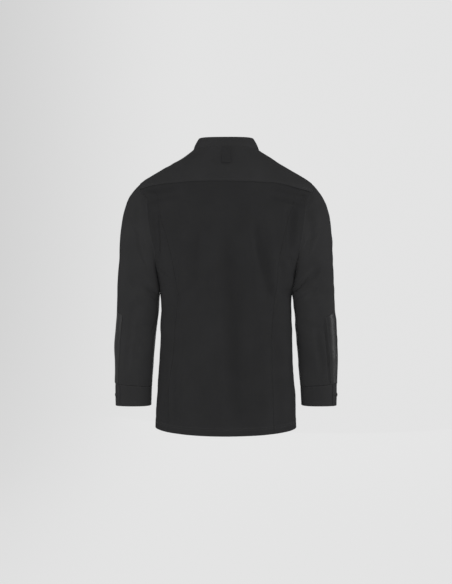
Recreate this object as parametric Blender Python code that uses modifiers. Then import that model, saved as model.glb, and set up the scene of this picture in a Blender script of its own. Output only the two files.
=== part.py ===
"""Chef jacket, in its worn shape with nobody in it.

Metres, +Z up. The front faces -Y and the wearer's left is +X. The origin is the middle of the neck seam.
A point on the body has two coordinates: an angle round it, 0 at the centre back and positive towards the
wearer's left, and a row in BODY_SECTIONS, which runs from the hem up and over the shoulders to the neck.
A point on a sleeve has an angle, 0 at its outer side and 90 degrees at its back, and a row in
SLEEVE_SECTIONS.
"""

import math

import bmesh
import bpy
from mathutils import Vector

# Cloth
WALL = 0.0015
FIRM_WALL = 0.0020
STRIP_WALL = 0.0012
SEAM_GAP = 0.00034
STRIP_GAP = 0.0005
LAYER_GAP = 0.0009
LAYER_DROP = WALL + LAYER_GAP

# The body, one row for each level. The heights are those of the section at its side, back and front.
BODY_COLUMNS = ("name", "side_height", "back_height", "front_height",
                "half_width", "back_depth", "front_depth", "squareness")
BODY_SECTIONS = (
    ("hem", -0.7450, -0.7520, -0.7490, 0.1895, 0.133, 0.135, 2.30),
    ("hip", -0.6600, -0.6620, -0.6620, 0.1850, 0.129, 0.131, 2.30),
    ("waist", -0.5600, -0.5600, -0.5600, 0.1797, 0.121, 0.126, 2.30),
    ("high_waist", -0.4600, -0.4600, -0.4620, 0.1756, 0.117, 0.124, 2.35),
    ("ribs", -0.4000, -0.4000, -0.4050, 0.1768, 0.121, 0.127, 2.40),
    ("armpit", -0.3450, -0.3450, -0.3550, 0.1840, 0.127, 0.131, 2.50),
    ("chest", -0.2850, -0.2850, -0.3000, 0.2040, 0.132, 0.134, 2.60),
    ("shoulder_blade", -0.2150, -0.2150, -0.2400, 0.2220, 0.134, 0.133, 2.60),
    ("upper_back", -0.1500, -0.1520, -0.1950, 0.2265, 0.128, 0.127, 2.55),
    ("shoulder_point", -0.0895, -0.0970, -0.1600, 0.2275, 0.118, 0.115, 2.45),
    ("mid_shoulder", -0.0465, -0.0460, -0.1170, 0.1575, 0.100, 0.096, 2.25),
    ("neck_seam", -0.0035, 0.0000, -0.0750, 0.0890, 0.074, 0.074, 2.10),
)
ARMPIT_ROW = 5
SHOULDER_ROW = 9
NECK_ROW = 11
CORNER_SHARE = 0.80

# The armhole, an oval in angle and row
ARMHOLE_MIDDLE_ANGLE = math.radians(90.0)
ARMHOLE_BACK_REACH = math.radians(32.0)
ARMHOLE_FRONT_REACH = math.radians(35.0)
ARMHOLE_MIDDLE_ROW = (ARMPIT_ROW + SHOULDER_ROW) / 2
ARMHOLE_HALF_ROWS = (SHOULDER_ROW - ARMPIT_ROW) / 2
ARMHOLE_GROWTH = 0.0017
SLEEVE_SIDES = 30
ARMHOLE_STEP = 2 * math.pi / SLEEVE_SIDES

# The yoke's lower edge meets the armhole this many steps from its top, at the back and at the front
YOKE_STEPS = 3
YOKE_ARCH_ROWS = 0.382
YOKE_ARCH_POWER = 2.5
YOKE_UNDERLAP_ROWS = 0.209
YOKE_RECESS_FADE_ROWS = 0.55

# Half the width of the centre back between its princess seams, at each height, wearer's left and right
PRINCESS_SEAM = (
    # height, left, right
    (-0.745, 0.1520, 0.1230),
    (-0.640, 0.1480, 0.1230),
    (-0.560, 0.1390, 0.1220),
    (-0.500, 0.1350, 0.1210),
    (-0.430, 0.1300, 0.1250),
    (-0.380, 0.1290, 0.1270),
    (-0.310, 0.1380, 0.1330),
    (-0.240, 0.1560, 0.1500),
    (-0.185, 0.1750, 0.1740),
    (-0.115, 0.1960, 0.1960),
)
PRINCESS_SIDES = {1: 1, -1: 2}
PRINCESS_TOP_ROW = 8.4
PRINCESS_LIMIT = math.radians(88.0)

# How far each front passes the centre front, at each height
FRONT_EDGE = (
    # height, overlap
    (-0.750, 0.072),
    (-0.500, 0.078),
    (-0.250, 0.080),
    (-0.170, 0.074),
    (-0.110, 0.046),
    (-0.075, 0.026),
)
FRONT_EDGE_LIMIT = math.radians(60.0)
OVERLAP_FADE = 0.016

# Soft folds of the body: a ridge where the rise is above zero and a trough where it is below
BODY_FOLDS = (
    # face, from x, from z, to x, to z, bow, half width, rise
    ("back", -0.108, -0.190, -0.128, -0.420, 0.006, 0.020, 0.0035),
    ("back", -0.082, -0.205, -0.112, -0.400, 0.006, 0.026, -0.0035),
    ("back", -0.050, -0.150, -0.074, -0.440, 0.004, 0.024, 0.0022),
    ("back", 0.112, -0.200, 0.120, -0.400, -0.006, 0.020, 0.0030),
    ("back", 0.086, -0.225, 0.124, -0.450, 0.004, 0.024, -0.0035),
    ("back", 0.058, -0.200, 0.070, -0.400, 0.000, 0.026, 0.0022),
    ("back", -0.012, -0.230, -0.030, -0.740, 0.000, 0.062, -0.0040),
    ("back", 0.146, -0.540, 0.140, -0.730, 0.000, 0.018, 0.0025),
    ("back", -0.150, -0.300, -0.165, -0.370, 0.004, 0.020, 0.0045),
    ("front", -0.120, -0.210, -0.140, -0.420, 0.006, 0.026, -0.0035),
    ("front", 0.118, -0.230, 0.142, -0.430, 0.006, 0.026, -0.0035),
    ("front", -0.150, -0.330, -0.120, -0.560, 0.000, 0.028, 0.0030),
    ("front", 0.150, -0.360, 0.118, -0.620, 0.000, 0.028, 0.0030),
    ("front", 0.105, -0.560, 0.130, -0.730, 0.000, 0.024, -0.0030),
)

# The sleeve: where its outer and inner sides are, and its half depth and middle from front to back
SLEEVE_COLUMNS = ("name", "outer_x", "outer_z", "inner_x", "inner_z", "half_depth", "middle_y")
SLEEVE_SECTIONS = (
    ("armhole", 0.2275, -0.0895, 0.1840, -0.3450, 0.0770, -0.001),
    ("cap", 0.2470, -0.1065, 0.1885, -0.3510, 0.0740, -0.002),
    ("high_cap", 0.2646, -0.1352, 0.1888, -0.3610, 0.0715, -0.004),
    ("upper_arm", 0.2770, -0.1780, 0.1862, -0.3780, 0.0690, -0.006),
    ("biceps", 0.2842, -0.2350, 0.1828, -0.4000, 0.0670, -0.008),
    ("above_elbow", 0.2890, -0.3100, 0.1826, -0.4300, 0.0640, -0.010),
    ("elbow", 0.2938, -0.3900, 0.1868, -0.4700, 0.0600, -0.014),
    ("forearm", 0.2980, -0.4700, 0.1915, -0.5150, 0.0560, -0.020),
    ("low_forearm", 0.3013, -0.5480, 0.1970, -0.5650, 0.0500, -0.027),
    ("cuff_seam", 0.3028, -0.6285, 0.2030, -0.6285, 0.0410, -0.033),
)
SLEEVE_SQUARENESS = 2.15
SLEEVE_BLEND_ROWS = 2.2
SLEEVE_ROW_LENGTH = 0.060
SLEEVE_MEAN_RADIUS = 0.060

SLEEVE_FOLDS = (
    # side, from angle in degrees, from row, to angle in degrees, to row, half width, rise
    (1, 150, 3.4, 70, 5.2, 0.022, -0.0035),
    (1, 130, 4.4, 60, 6.3, 0.018, 0.0025),
    (1, 60, 1.2, 100, 3.2, 0.020, -0.0025),
    (1, -150, 3.2, -70, 5.0, 0.022, -0.0035),
    (1, -120, 5.2, -40, 6.2, 0.020, -0.0025),
    (-1, 155, 3.0, 80, 4.6, 0.020, -0.0035),
    (-1, 120, 5.0, 50, 6.0, 0.018, -0.0022),
    (-1, 50, 1.0, 90, 3.0, 0.020, 0.0025),
    (-1, -145, 3.4, -60, 5.4, 0.022, -0.0035),
    (-1, -120, 5.6, -50, 6.6, 0.020, 0.0025),
)

# The cuff, a band that laps over itself
CUFF_TOP = -0.6289
CUFF_HEIGHT = 0.0610
CUFF_TOP_HALF_WIDTH = 0.0485
CUFF_FOOT_HALF_WIDTH = 0.0470
CUFF_TOP_MIDDLE_X = 0.2516
CUFF_FOOT_MIDDLE_X = 0.2522
CUFF_HALF_DEPTH = 0.0395
CUFF_MIDDLE_Y = -0.033
CUFF_END_ANGLE = math.radians(47.0)
CUFF_LAP_ANGLE = math.radians(38.0)
CUFF_FADE_ANGLE = math.radians(34.0)
CUFF_LIFT = FIRM_WALL + LAYER_GAP

# The strip on the sleeve opening above the cuff
PLACKET_ANGLES = (math.radians(28.0), math.radians(54.0))
PLACKET_ROWS = (6.75, 8.97)

# The collar's upper edge, a ring above the neck seam
COLLAR_TOP_SIDE_HEIGHT = 0.0275
COLLAR_TOP_BACK_HEIGHT = 0.0248
COLLAR_TOP_FRONT_HEIGHT = -0.0405
COLLAR_TOP_HALF_WIDTH = 0.0735
COLLAR_TOP_BACK_DEPTH = 0.0600
COLLAR_TOP_FRONT_DEPTH = 0.0700
COLLAR_TOP_SQUARENESS = 2.35
COLLAR_END_ANGLE = math.radians(178.2)
COLLAR_BELLY = 0.0010
COLLAR_CORNER_ANGLE = 0.30
COLLAR_CORNER_SHARE = 0.22

# The hanger loop, a folded tab below the collar
LOOP_WIDTH = 0.0235
LOOP_TOP_DROP = 0.0045
LOOP_LENGTH = 0.0500
LOOP_WALL = 0.0009
LOOP_LEAF_GAP = 0.0003
LOOP_FOOT_RISE = 0.0042
LOOP_SEAT = 0.0003
YOKE_ROW_LENGTH = 0.053

# Buttons
BUTTON_RADIUS = 0.0090
CUFF_BUTTON_RADIUS = 0.0060
BUTTON_THICKNESS = 0.0034
CUFF_BUTTON_THICKNESS = 0.0024
BUTTON_HEIGHTS = (-0.155, -0.245, -0.335, -0.425, -0.515)
BUTTON_OFFSETS = (0.056, 0.062, 0.062, 0.062, 0.062)
BUTTON_SEAT = 0.0002
BUTTON_SIDES = 12
# Half a rimmed button's outline, as shares of its radius and thickness, from its face's middle to its back
BUTTON_OUTLINE = (
    (0.00, 0.68),
    (0.50, 0.68),
    (0.66, 0.98),
    (0.86, 1.00),
    (1.00, 0.60),
    (0.90, 0.10),
    (0.55, 0.00),
    (0.00, 0.00),
)
CUFF_BUTTON_ANGLE = math.radians(29.0)

# Mesh density
LOW_BODY_ROWS = 12
SHOULDER_ROWS = 6
CENTRE_COLUMNS = 14
SIDE_COLUMNS = 4
FRONT_COLUMNS = 5
LAP_COLUMNS = 6
SLEEVE_ROWS = 16
COLLAR_ROWS = 3
CUFF_COLUMNS = 36
CUFF_ROWS = 2
PLACKET_COLUMNS = 3
PLACKET_STEPS = 6
LOOP_DOWN_STEPS = 6
LOOP_TURN_STEPS = 4

# Finishes: colour, roughness
TWILL = ((0.026, 0.026, 0.027), 0.82)
KNIT = ((0.019, 0.019, 0.020), 0.90)
MATT_PLASTIC = ((0.014, 0.014, 0.015), 0.45)

SMALL = 1e-4
MERGE_DISTANCE = 1e-6
SOLVER_ROUNDS = 12
SHARP_ANGLE = math.radians(42.0)


def fresh_collection(name):
    for item in list(bpy.data.objects):
        bpy.data.objects.remove(item, do_unlink=True)
    collection = bpy.data.collections.new(name)
    bpy.context.scene.collection.children.link(collection)
    return collection


def smooth_value(values, position, corner=None):
    """A smooth curve through values that stand at 0, 1, 2 and so on, with its bend just before the corner."""
    last = len(values) - 1
    position = min(max(position, 0.0), float(last))
    index = min(int(position), last - 1)
    part = position - index

    def slope(place):
        before = values[place] - values[place - 1] if place > 0 else values[1] - values[0]
        after = values[place + 1] - values[place] if place < last else before
        share = CORNER_SHARE if place == corner else 0.5
        return before + (after - before) * share

    start = values[index]
    rise = values[index + 1] - start
    first = slope(index)
    second = slope(index + 1)
    squared = 3 * rise - 2 * first - second
    cubed = first + second - 2 * rise
    return start + part * (first + part * (squared + part * cubed))


def soft_step(value):
    value = min(max(value, 0.0), 1.0)
    return value * value * (3 - 2 * value)


def table_columns(names, table):
    return {name: [row[place] for row in table] for place, name in enumerate(names) if name != "name"}


def table_lookup(table, key, column):
    """The value at a key between the rows of a table whose first column rises."""
    if key <= table[0][0]:
        return table[0][column]
    for low, high in zip(table, table[1:]):
        if key <= high[0]:
            part = (key - low[0]) / (high[0] - low[0])
            return low[column] + (high[column] - low[column]) * part
    return table[-1][column]


BODY = table_columns(BODY_COLUMNS, BODY_SECTIONS)
SLEEVE = table_columns(SLEEVE_COLUMNS, SLEEVE_SECTIONS)


def oval(angle, squareness):
    """Side and back reach of a rounded square of size 1 at an angle from the back."""
    side = math.sin(angle)
    back = math.cos(angle)
    reach = (abs(side) ** squareness + abs(back) ** squareness) ** (-1 / squareness)
    return side * reach, back * reach


def plain_body_point(angle, row):
    value = {name: smooth_value(column, row, SHOULDER_ROW) for name, column in BODY.items()}
    side, back = oval(angle, value["squareness"])
    depth = value["back_depth"] if back > 0 else value["front_depth"]
    end_height = value["back_height"] if back > 0 else value["front_height"]
    height = value["side_height"] + (end_height - value["side_height"]) * math.cos(angle) ** 2
    return Vector((value["half_width"] * side, depth * back, height))


def body_normal(angle, row):
    low = max(row - SMALL, 0.0)
    high = min(row + SMALL, float(NECK_ROW))
    up = plain_body_point(angle, high) - plain_body_point(angle, low)
    round_it = plain_body_point(angle + SMALL, row) - plain_body_point(angle - SMALL, row)
    return up.cross(round_it).normalized()


def fold_rise(across, along, start, end, bow, half_width, rise):
    """Height of one soft fold at a place in the plane that the fold is drawn in."""
    line_across = end[0] - start[0]
    line_along = end[1] - start[1]
    length = math.hypot(line_across, line_along)
    part = ((across - start[0]) * line_across + (along - start[1]) * line_along) / length ** 2
    if not 0.0 < part < 1.0:
        return 0.0
    aside = ((across - start[0]) * line_along - (along - start[1]) * line_across) / length
    aside = (aside - bow * 4 * part * (1 - part)) / half_width
    if abs(aside) >= 1.0:
        return 0.0
    fade = 1 - (2 * part - 1) ** 4
    return rise * fade * (1 - aside * aside) ** 2


def body_drape(point):
    face = "back" if point.y > 0 else "front"
    total = 0.0
    for fold_face, from_x, from_z, to_x, to_z, bow, half_width, rise in BODY_FOLDS:
        if fold_face == face:
            total += fold_rise(point.x, point.z, (from_x, from_z), (to_x, to_z), bow, half_width, rise)
    return total


def body_point(angle, row, out=0.0):
    """A point of the draped body moved out from it, with the direction that points away from the body."""
    point = plain_body_point(angle, row)
    normal = body_normal(angle, row)
    return point + normal * (body_drape(point) + out), normal


def seam_inset(angle, row):
    """Half a seam's gap, as an angle."""
    step = plain_body_point(angle + SMALL, row) - plain_body_point(angle - SMALL, row)
    return 0.5 * SEAM_GAP * 2 * SMALL / step.length


def solve(function, low, high, steps=40):
    """Where a function that rises from below zero reaches zero."""
    for _ in range(steps):
        middle = 0.5 * (low + high)
        if function(middle) < 0:
            low = middle
        else:
            high = middle
    return 0.5 * (low + high)


def princess_angle(hand, row):
    row = min(row, PRINCESS_TOP_ROW)

    def past_seam(angle):
        point = plain_body_point(angle, row)
        return point.x - table_lookup(PRINCESS_SEAM, point.z, PRINCESS_SIDES[hand])

    return solve(past_seam, 0.0, PRINCESS_LIMIT)


def front_edge_angle(row):
    def past_edge(angle):
        point = plain_body_point(angle, row)
        return -point.x - table_lookup(FRONT_EDGE, point.z, 1)

    return solve(past_edge, math.pi, math.pi + FRONT_EDGE_LIMIT)


def armhole_place(turn, growth=0.0):
    """Angle and row of the left armhole: turn is 0 at the shoulder point and a quarter turn at the back."""
    size = 1 + growth
    reach = ARMHOLE_BACK_REACH if math.sin(turn) > 0 else ARMHOLE_FRONT_REACH
    angle = ARMHOLE_MIDDLE_ANGLE - reach * size * math.sin(turn)
    row = ARMHOLE_MIDDLE_ROW + ARMHOLE_HALF_ROWS * size * math.cos(turn)
    return angle, row


def low_rows():
    return [ARMPIT_ROW * (1 - ARMHOLE_GROWTH) * step / LOW_BODY_ROWS for step in range(LOW_BODY_ROWS + 1)]


def armhole_turns():
    """Turns round the armhole from just above the armpit up to the end of the yoke's edge."""
    return [ARMHOLE_STEP * step for step in range(SLEEVE_SIDES // 2 - 1, YOKE_STEPS - 1, -1)]


YOKE_END_ANGLE, YOKE_END_ROW = armhole_place(ARMHOLE_STEP * YOKE_STEPS, ARMHOLE_GROWTH)
YOKE_FRONT_ANGLE = armhole_place(-ARMHOLE_STEP * YOKE_STEPS)[0]


def yoke_rise(angle):
    """How many rows higher the yoke's lower edge is than at its ends."""
    part = min(abs(angle) / YOKE_END_ANGLE, 1.0)
    return YOKE_ARCH_ROWS * (1 - part ** YOKE_ARCH_POWER)


def yoke_recess(angle, row):
    """How far the back lies under the yoke, which fades out below the yoke's edge."""
    below = YOKE_END_ROW + yoke_rise(angle) - row
    return -LAYER_DROP * (1 - soft_step(below / YOKE_RECESS_FADE_ROWS))


def arched_row(angle, row, share=1.0):
    """A row of the back, bent so that the top ones run along the yoke's edge."""
    bend = soft_step((row - ARMPIT_ROW) / (YOKE_END_ROW - ARMPIT_ROW))
    return row + yoke_rise(angle) * bend * share


def shoulder_row(low, step):
    """A row between an edge of the yoke and the neck; the first one lies over the top edge of the back."""
    if step == 0:
        return low
    return blend(low + YOKE_UNDERLAP_ROWS, neck_top_row(), (step - 1) / (SHOULDER_ROWS - 1))


def edge_rows():
    """Rows of a panel at its side: along the side seam, then at the sleeve's own points of the armhole."""
    return low_rows() + [armhole_place(turn, ARMHOLE_GROWTH)[1] for turn in armhole_turns()]


def inner_rows():
    """The same rows away from the armhole, where they are even."""
    low = low_rows()
    steps = len(armhole_turns())
    return low + [blend(low[-1], YOKE_END_ROW, step / steps) for step in range(1, steps + 1)]


def panel_rows(top_rows):
    """Pairs of rows, at the panel's side and away from it."""
    return list(zip(edge_rows(), inner_rows())) + [(row, row) for row in top_rows]


def armhole_edge(row, front):
    """Angle of the armhole's edge at a row, or of the side seam below it."""
    level = (row - ARMHOLE_MIDDLE_ROW) / (ARMHOLE_HALF_ROWS * (1 + ARMHOLE_GROWTH))
    reach = ARMHOLE_FRONT_REACH if front else -ARMHOLE_BACK_REACH
    width = math.sqrt(max(1 - level * level, 0.0)) * (1 + ARMHOLE_GROWTH)
    if row < ARMHOLE_MIDDLE_ROW and width < 1e-6:
        gap = seam_inset(ARMHOLE_MIDDLE_ANGLE, row)
        return ARMHOLE_MIDDLE_ANGLE + (gap if front else -gap)
    return ARMHOLE_MIDDLE_ANGLE + reach * width


def blend(low, high, part):
    return low + (high - low) * part


def finish_material(name, finish):
    colour, roughness = finish
    material = bpy.data.materials.new(name)
    material.use_nodes = True
    shader = material.node_tree.nodes["Principled BSDF"]
    shader.inputs["Base Color"].default_value = (*colour, 1.0)
    shader.inputs["Roughness"].default_value = roughness
    shader.inputs["Metallic"].default_value = 0.0
    return material


def add_object(name, mesh, finish, collection):
    mesh.shade_smooth()
    mesh.set_sharp_from_angle(angle=SHARP_ANGLE)
    piece = bpy.data.objects.new(name, mesh)
    piece.data.materials.append(finish_material(name + "_finish", finish))
    collection.objects.link(piece)
    return piece


def cloth_piece(name, surface, columns, rows, wall, finish, collection, closed=False):
    """A walled sheet: surface gives the outer point and outward direction at a column and a row."""
    mesh_data = bmesh.new()
    inward = mesh_data.verts.layers.float_vector.new("inward")
    bmesh.ops.create_grid(mesh_data, x_segments=columns, y_segments=rows, size=0.5)
    for vertex in mesh_data.verts:
        column = round((vertex.co.x + 0.5) * columns)
        row = round((vertex.co.y + 0.5) * rows)
        if closed:
            column %= columns
        point, outward = surface(column, row)
        vertex.co = point
        vertex[inward] = outward * -wall
    if closed:
        bmesh.ops.remove_doubles(mesh_data, verts=mesh_data.verts, dist=MERGE_DISTANCE)
    inner = bmesh.ops.extrude_face_region(mesh_data, geom=mesh_data.faces[:])
    for item in inner["geom"]:
        if isinstance(item, bmesh.types.BMVert):
            item.co += Vector(item[inward])
    bmesh.ops.recalc_face_normals(mesh_data, faces=mesh_data.faces)
    mesh = bpy.data.meshes.new(name)
    mesh_data.to_mesh(mesh)
    mesh_data.free()
    return add_object(name, mesh, finish, collection)


def build_back(collection):
    rows = panel_rows([YOKE_END_ROW + YOKE_UNDERLAP_ROWS])

    def centre(column, row):
        level = rows[row][1]
        right = -princess_angle(-1, level)
        left = princess_angle(1, level)
        right += seam_inset(right, level)
        left -= seam_inset(left, level)
        angle = blend(right, left, column / CENTRE_COLUMNS)
        level = arched_row(angle, level)
        return body_point(angle, level, yoke_recess(angle, level))

    cloth_piece("back_centre", centre, CENTRE_COLUMNS, len(rows) - 1, WALL, KNIT, collection)

    def side_back(hand):
        def surface(column, row):
            edge_level, inner_level = rows[row]
            inner = princess_angle(hand, inner_level)
            inner += seam_inset(inner, inner_level)
            outer = armhole_edge(edge_level, front=False) if row < len(rows) - 1 else YOKE_END_ANGLE
            part = (column if hand > 0 else SIDE_COLUMNS - column) / SIDE_COLUMNS
            angle = blend(inner, outer, part)
            level = arched_row(angle, blend(inner_level, edge_level, part), 1 - part * part)
            return body_point(hand * angle, level, yoke_recess(angle, level))
        return surface

    for name, hand in (("back_side_left", 1), ("back_side_right", -1)):
        cloth_piece(name, side_back(hand), SIDE_COLUMNS, len(rows) - 1, WALL, KNIT, collection)


def yoke_angles():
    """Columns of the yoke from the right front edge over the back to the left front edge."""
    right = princess_angle(-1, YOKE_END_ROW)
    left = princess_angle(1, YOKE_END_ROW)
    centre = [blend(-right, left, step / CENTRE_COLUMNS) for step in range(CENTRE_COLUMNS + 1)]
    left_side = [blend(left, YOKE_END_ANGLE, step / SIDE_COLUMNS) for step in range(1, SIDE_COLUMNS + 1)]
    right_side = [-blend(right, YOKE_END_ANGLE, step / SIDE_COLUMNS) for step in range(SIDE_COLUMNS, 0, -1)]
    shoulder = [armhole_place(ARMHOLE_STEP * step)[0] for step in range(YOKE_STEPS - 1, -YOKE_STEPS - 1, -1)]
    return [-angle for angle in reversed(shoulder)] + right_side + centre + left_side + shoulder


def yoke_edge_row(angle):
    """Row of the yoke's outer edge: along the back's arch, then along the armhole's top."""
    angle = abs(angle)
    if angle <= YOKE_END_ANGLE:
        return YOKE_END_ROW + yoke_rise(angle)
    reach = ARMHOLE_BACK_REACH if angle < ARMHOLE_MIDDLE_ANGLE else ARMHOLE_FRONT_REACH
    across = min(abs(angle - ARMHOLE_MIDDLE_ANGLE) / reach, 1.0)
    return ARMHOLE_MIDDLE_ROW + ARMHOLE_HALF_ROWS * (1 + ARMHOLE_GROWTH) * math.sqrt(1 - across * across)


def neck_top_row():
    step = plain_body_point(0.0, NECK_ROW) - plain_body_point(0.0, NECK_ROW - 1)
    return NECK_ROW - 0.5 * SEAM_GAP / step.length


def build_yoke(collection):
    angles = yoke_angles()

    def surface(column, row):
        angle = angles[column]
        if column in (0, len(angles) - 1):
            angle -= math.copysign(seam_inset(angle, SHOULDER_ROW), angle)
        return body_point(angle, shoulder_row(yoke_edge_row(angles[column]), row))

    cloth_piece("back_yoke", surface, len(angles) - 1, SHOULDER_ROWS, WALL, TWILL, collection)


def front_place(edge_row, inner_row, column):
    """Angle and row of a front's column: up to the line of the other front's edge, then over the lap."""
    if edge_row > YOKE_END_ROW - SMALL:
        outer = YOKE_FRONT_ANGLE + seam_inset(YOKE_FRONT_ANGLE, edge_row)
    else:
        outer = armhole_edge(edge_row, front=True)
    lap = front_edge_angle(inner_row) - math.pi
    if column <= FRONT_COLUMNS:
        part = column / FRONT_COLUMNS
        return blend(outer, math.pi - lap, part), blend(edge_row, inner_row, part)
    return blend(math.pi - lap, math.pi + lap, (column - FRONT_COLUMNS) / LAP_COLUMNS), inner_row


def build_fronts(collection):
    rows = panel_rows([shoulder_row(YOKE_END_ROW, step) for step in range(1, SHOULDER_ROWS + 1)])

    def left(column, row):
        return body_point(*front_place(*rows[row], column))

    def right(column, row):
        angle, level = front_place(*rows[row], column)
        point = plain_body_point(-angle, level)
        beyond_lap = -point.x - table_lookup(FRONT_EDGE, point.z, 1)
        drop = LAYER_DROP * (1 - soft_step((beyond_lap - SMALL) / OVERLAP_FADE))
        return body_point(-angle, level, -drop)

    columns = FRONT_COLUMNS + LAP_COLUMNS
    cloth_piece("front_left", left, columns, len(rows) - 1, WALL, TWILL, collection)
    cloth_piece("front_right", right, columns, len(rows) - 1, WALL, TWILL, collection)


def collar_angles():
    """Columns of the collar, over those of the yoke and the fronts below it."""
    columns = range(1, FRONT_COLUMNS + LAP_COLUMNS // 2)
    top = neck_top_row()
    front = [front_place(top, top, column)[0] for column in columns] + [COLLAR_END_ANGLE]
    return [-angle for angle in reversed(front)] + yoke_angles() + front


def collar_point(angle, part):
    base = plain_body_point(angle, NECK_ROW)
    side, back = oval(angle, COLLAR_TOP_SQUARENESS)
    depth = COLLAR_TOP_BACK_DEPTH if back > 0 else COLLAR_TOP_FRONT_DEPTH
    end_height = COLLAR_TOP_BACK_HEIGHT if back > 0 else COLLAR_TOP_FRONT_HEIGHT
    height = COLLAR_TOP_SIDE_HEIGHT + (end_height - COLLAR_TOP_SIDE_HEIGHT) * math.cos(angle) ** 2
    top = Vector((COLLAR_TOP_HALF_WIDTH * side, depth * back, height))
    away = Vector((side, back, 0.0)).normalized()
    return base.lerp(top, part) + away * COLLAR_BELLY * 4 * part * (1 - part)


def build_collar(collection):
    angles = collar_angles()
    height = (collar_point(0.0, 1.0) - collar_point(0.0, 0.0)).length
    foot = 0.5 * SEAM_GAP / height

    def surface(column, row):
        angle = angles[column]
        from_end = (COLLAR_END_ANGLE - abs(angle)) / COLLAR_CORNER_ANGLE
        corner = COLLAR_CORNER_SHARE * max(1 - from_end, 0.0) ** 2
        part = blend(foot, 1.0 - corner, row / COLLAR_ROWS)
        up = collar_point(angle, part + SMALL) - collar_point(angle, part - SMALL)
        round_it = collar_point(angle + SMALL, part) - collar_point(angle - SMALL, part)
        return collar_point(angle, part), up.cross(round_it).normalized()

    cloth_piece("collar", surface, len(angles) - 1, COLLAR_ROWS, FIRM_WALL, TWILL, collection)


def sleeve_drape(hand, turn, row):
    angle = math.degrees(math.remainder(turn, 2 * math.pi))
    across = math.radians(angle) * SLEEVE_MEAN_RADIUS
    along = row * SLEEVE_ROW_LENGTH
    total = 0.0
    for side, from_angle, from_row, to_angle, to_row, half_width, rise in SLEEVE_FOLDS:
        if side == hand:
            start = (math.radians(from_angle) * SLEEVE_MEAN_RADIUS, from_row * SLEEVE_ROW_LENGTH)
            end = (math.radians(to_angle) * SLEEVE_MEAN_RADIUS, to_row * SLEEVE_ROW_LENGTH)
            total += fold_rise(across, along, start, end, 0.0, half_width, rise)
    return total


def plain_sleeve_point(hand, turn, row):
    """A point of a sleeve, which starts as the armhole and turns into an oval."""
    value = {name: smooth_value(column, row) for name, column in SLEEVE.items()}
    outer = Vector((value["outer_x"], 0.0, value["outer_z"]))
    inner = Vector((value["inner_x"], 0.0, value["inner_z"]))
    back, out = oval(turn, SLEEVE_SQUARENESS)
    middle = (outer + inner) / 2 + Vector((0.0, value["middle_y"], 0.0))
    ring = middle + (outer - inner) / 2 * out + Vector((0.0, value["half_depth"] * back, 0.0))
    ring.x *= hand
    share = soft_step(row / SLEEVE_BLEND_ROWS)
    if share == 1.0:
        return ring
    angle, level = armhole_place(turn, -ARMHOLE_GROWTH)
    edge = body_point(hand * angle, level)[0]
    return edge.lerp(ring, share)


def sleeve_point(hand, turn, row, out=0.0):
    low = max(row - SMALL, 0.0)
    high = min(row + SMALL, len(SLEEVE_SECTIONS) - 1)
    down = plain_sleeve_point(hand, turn, high) - plain_sleeve_point(hand, turn, low)
    round_it = plain_sleeve_point(hand, turn + SMALL, row) - plain_sleeve_point(hand, turn - SMALL, row)
    normal = hand * down.cross(round_it).normalized()
    return plain_sleeve_point(hand, turn, row) + normal * (sleeve_drape(hand, turn, row) + out), normal


def build_sleeve(name, hand, collection):
    last = len(SLEEVE_SECTIONS) - 1

    def surface(column, row):
        return sleeve_point(hand, ARMHOLE_STEP * column, last * row / SLEEVE_ROWS)

    cloth_piece("sleeve_" + name, surface, SLEEVE_SIDES, SLEEVE_ROWS, WALL, TWILL, collection, closed=True)


def build_sleeve_placket(name, hand, collection):
    def surface(column, row):
        turn = blend(*PLACKET_ANGLES, column / PLACKET_COLUMNS)
        level = blend(*PLACKET_ROWS, row / PLACKET_STEPS)
        return sleeve_point(hand, turn, level, STRIP_GAP + STRIP_WALL)

    name = "sleeve_placket_" + name
    cloth_piece(name, surface, PLACKET_COLUMNS, PLACKET_STEPS, STRIP_WALL, TWILL, collection)


def cuff_point(hand, turn, part, out=0.0):
    half_width = blend(CUFF_TOP_HALF_WIDTH, CUFF_FOOT_HALF_WIDTH, part)
    middle_x = blend(CUFF_TOP_MIDDLE_X, CUFF_FOOT_MIDDLE_X, part)
    back, outer = oval(turn, SLEEVE_SQUARENESS)
    point = Vector((middle_x + half_width * outer, CUFF_MIDDLE_Y + CUFF_HALF_DEPTH * back,
                    CUFF_TOP - CUFF_HEIGHT * part))
    normal = Vector((CUFF_HALF_DEPTH * outer, half_width * back, 0.0)).normalized()
    point += normal * out
    point.x *= hand
    normal.x *= hand
    return point, normal


def build_cuff(name, hand, collection):
    full_turn = 2 * math.pi + CUFF_LAP_ANGLE

    def surface(column, row):
        travelled = full_turn * column / CUFF_COLUMNS
        lift = CUFF_LIFT * (1 - soft_step((travelled - CUFF_LAP_ANGLE) / CUFF_FADE_ANGLE))
        return cuff_point(hand, CUFF_END_ANGLE - travelled, row / CUFF_ROWS, lift)

    cloth_piece("cuff_" + name, surface, CUFF_COLUMNS, CUFF_ROWS, FIRM_WALL, TWILL, collection)


def loop_path(step):
    """How far down the hanger loop a step of its outer side is, as a share, and how high above the yoke."""
    leaf = 2 * LOOP_WALL + LOOP_LEAF_GAP
    if step <= LOOP_DOWN_STEPS:
        part = step / LOOP_DOWN_STEPS
        return part, LOOP_SEAT + leaf + LOOP_FOOT_RISE * part ** 2
    if step < LOOP_DOWN_STEPS + LOOP_TURN_STEPS:
        turn = math.pi * (step - LOOP_DOWN_STEPS) / LOOP_TURN_STEPS
        middle = LOOP_SEAT + leaf / 2 + LOOP_FOOT_RISE
        return 1 + leaf / 2 * math.sin(turn) / LOOP_LENGTH, middle + leaf / 2 * math.cos(turn)
    part = 1 - (step - LOOP_DOWN_STEPS - LOOP_TURN_STEPS) / LOOP_DOWN_STEPS
    return part, LOOP_SEAT + LOOP_FOOT_RISE * part ** 2


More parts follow.
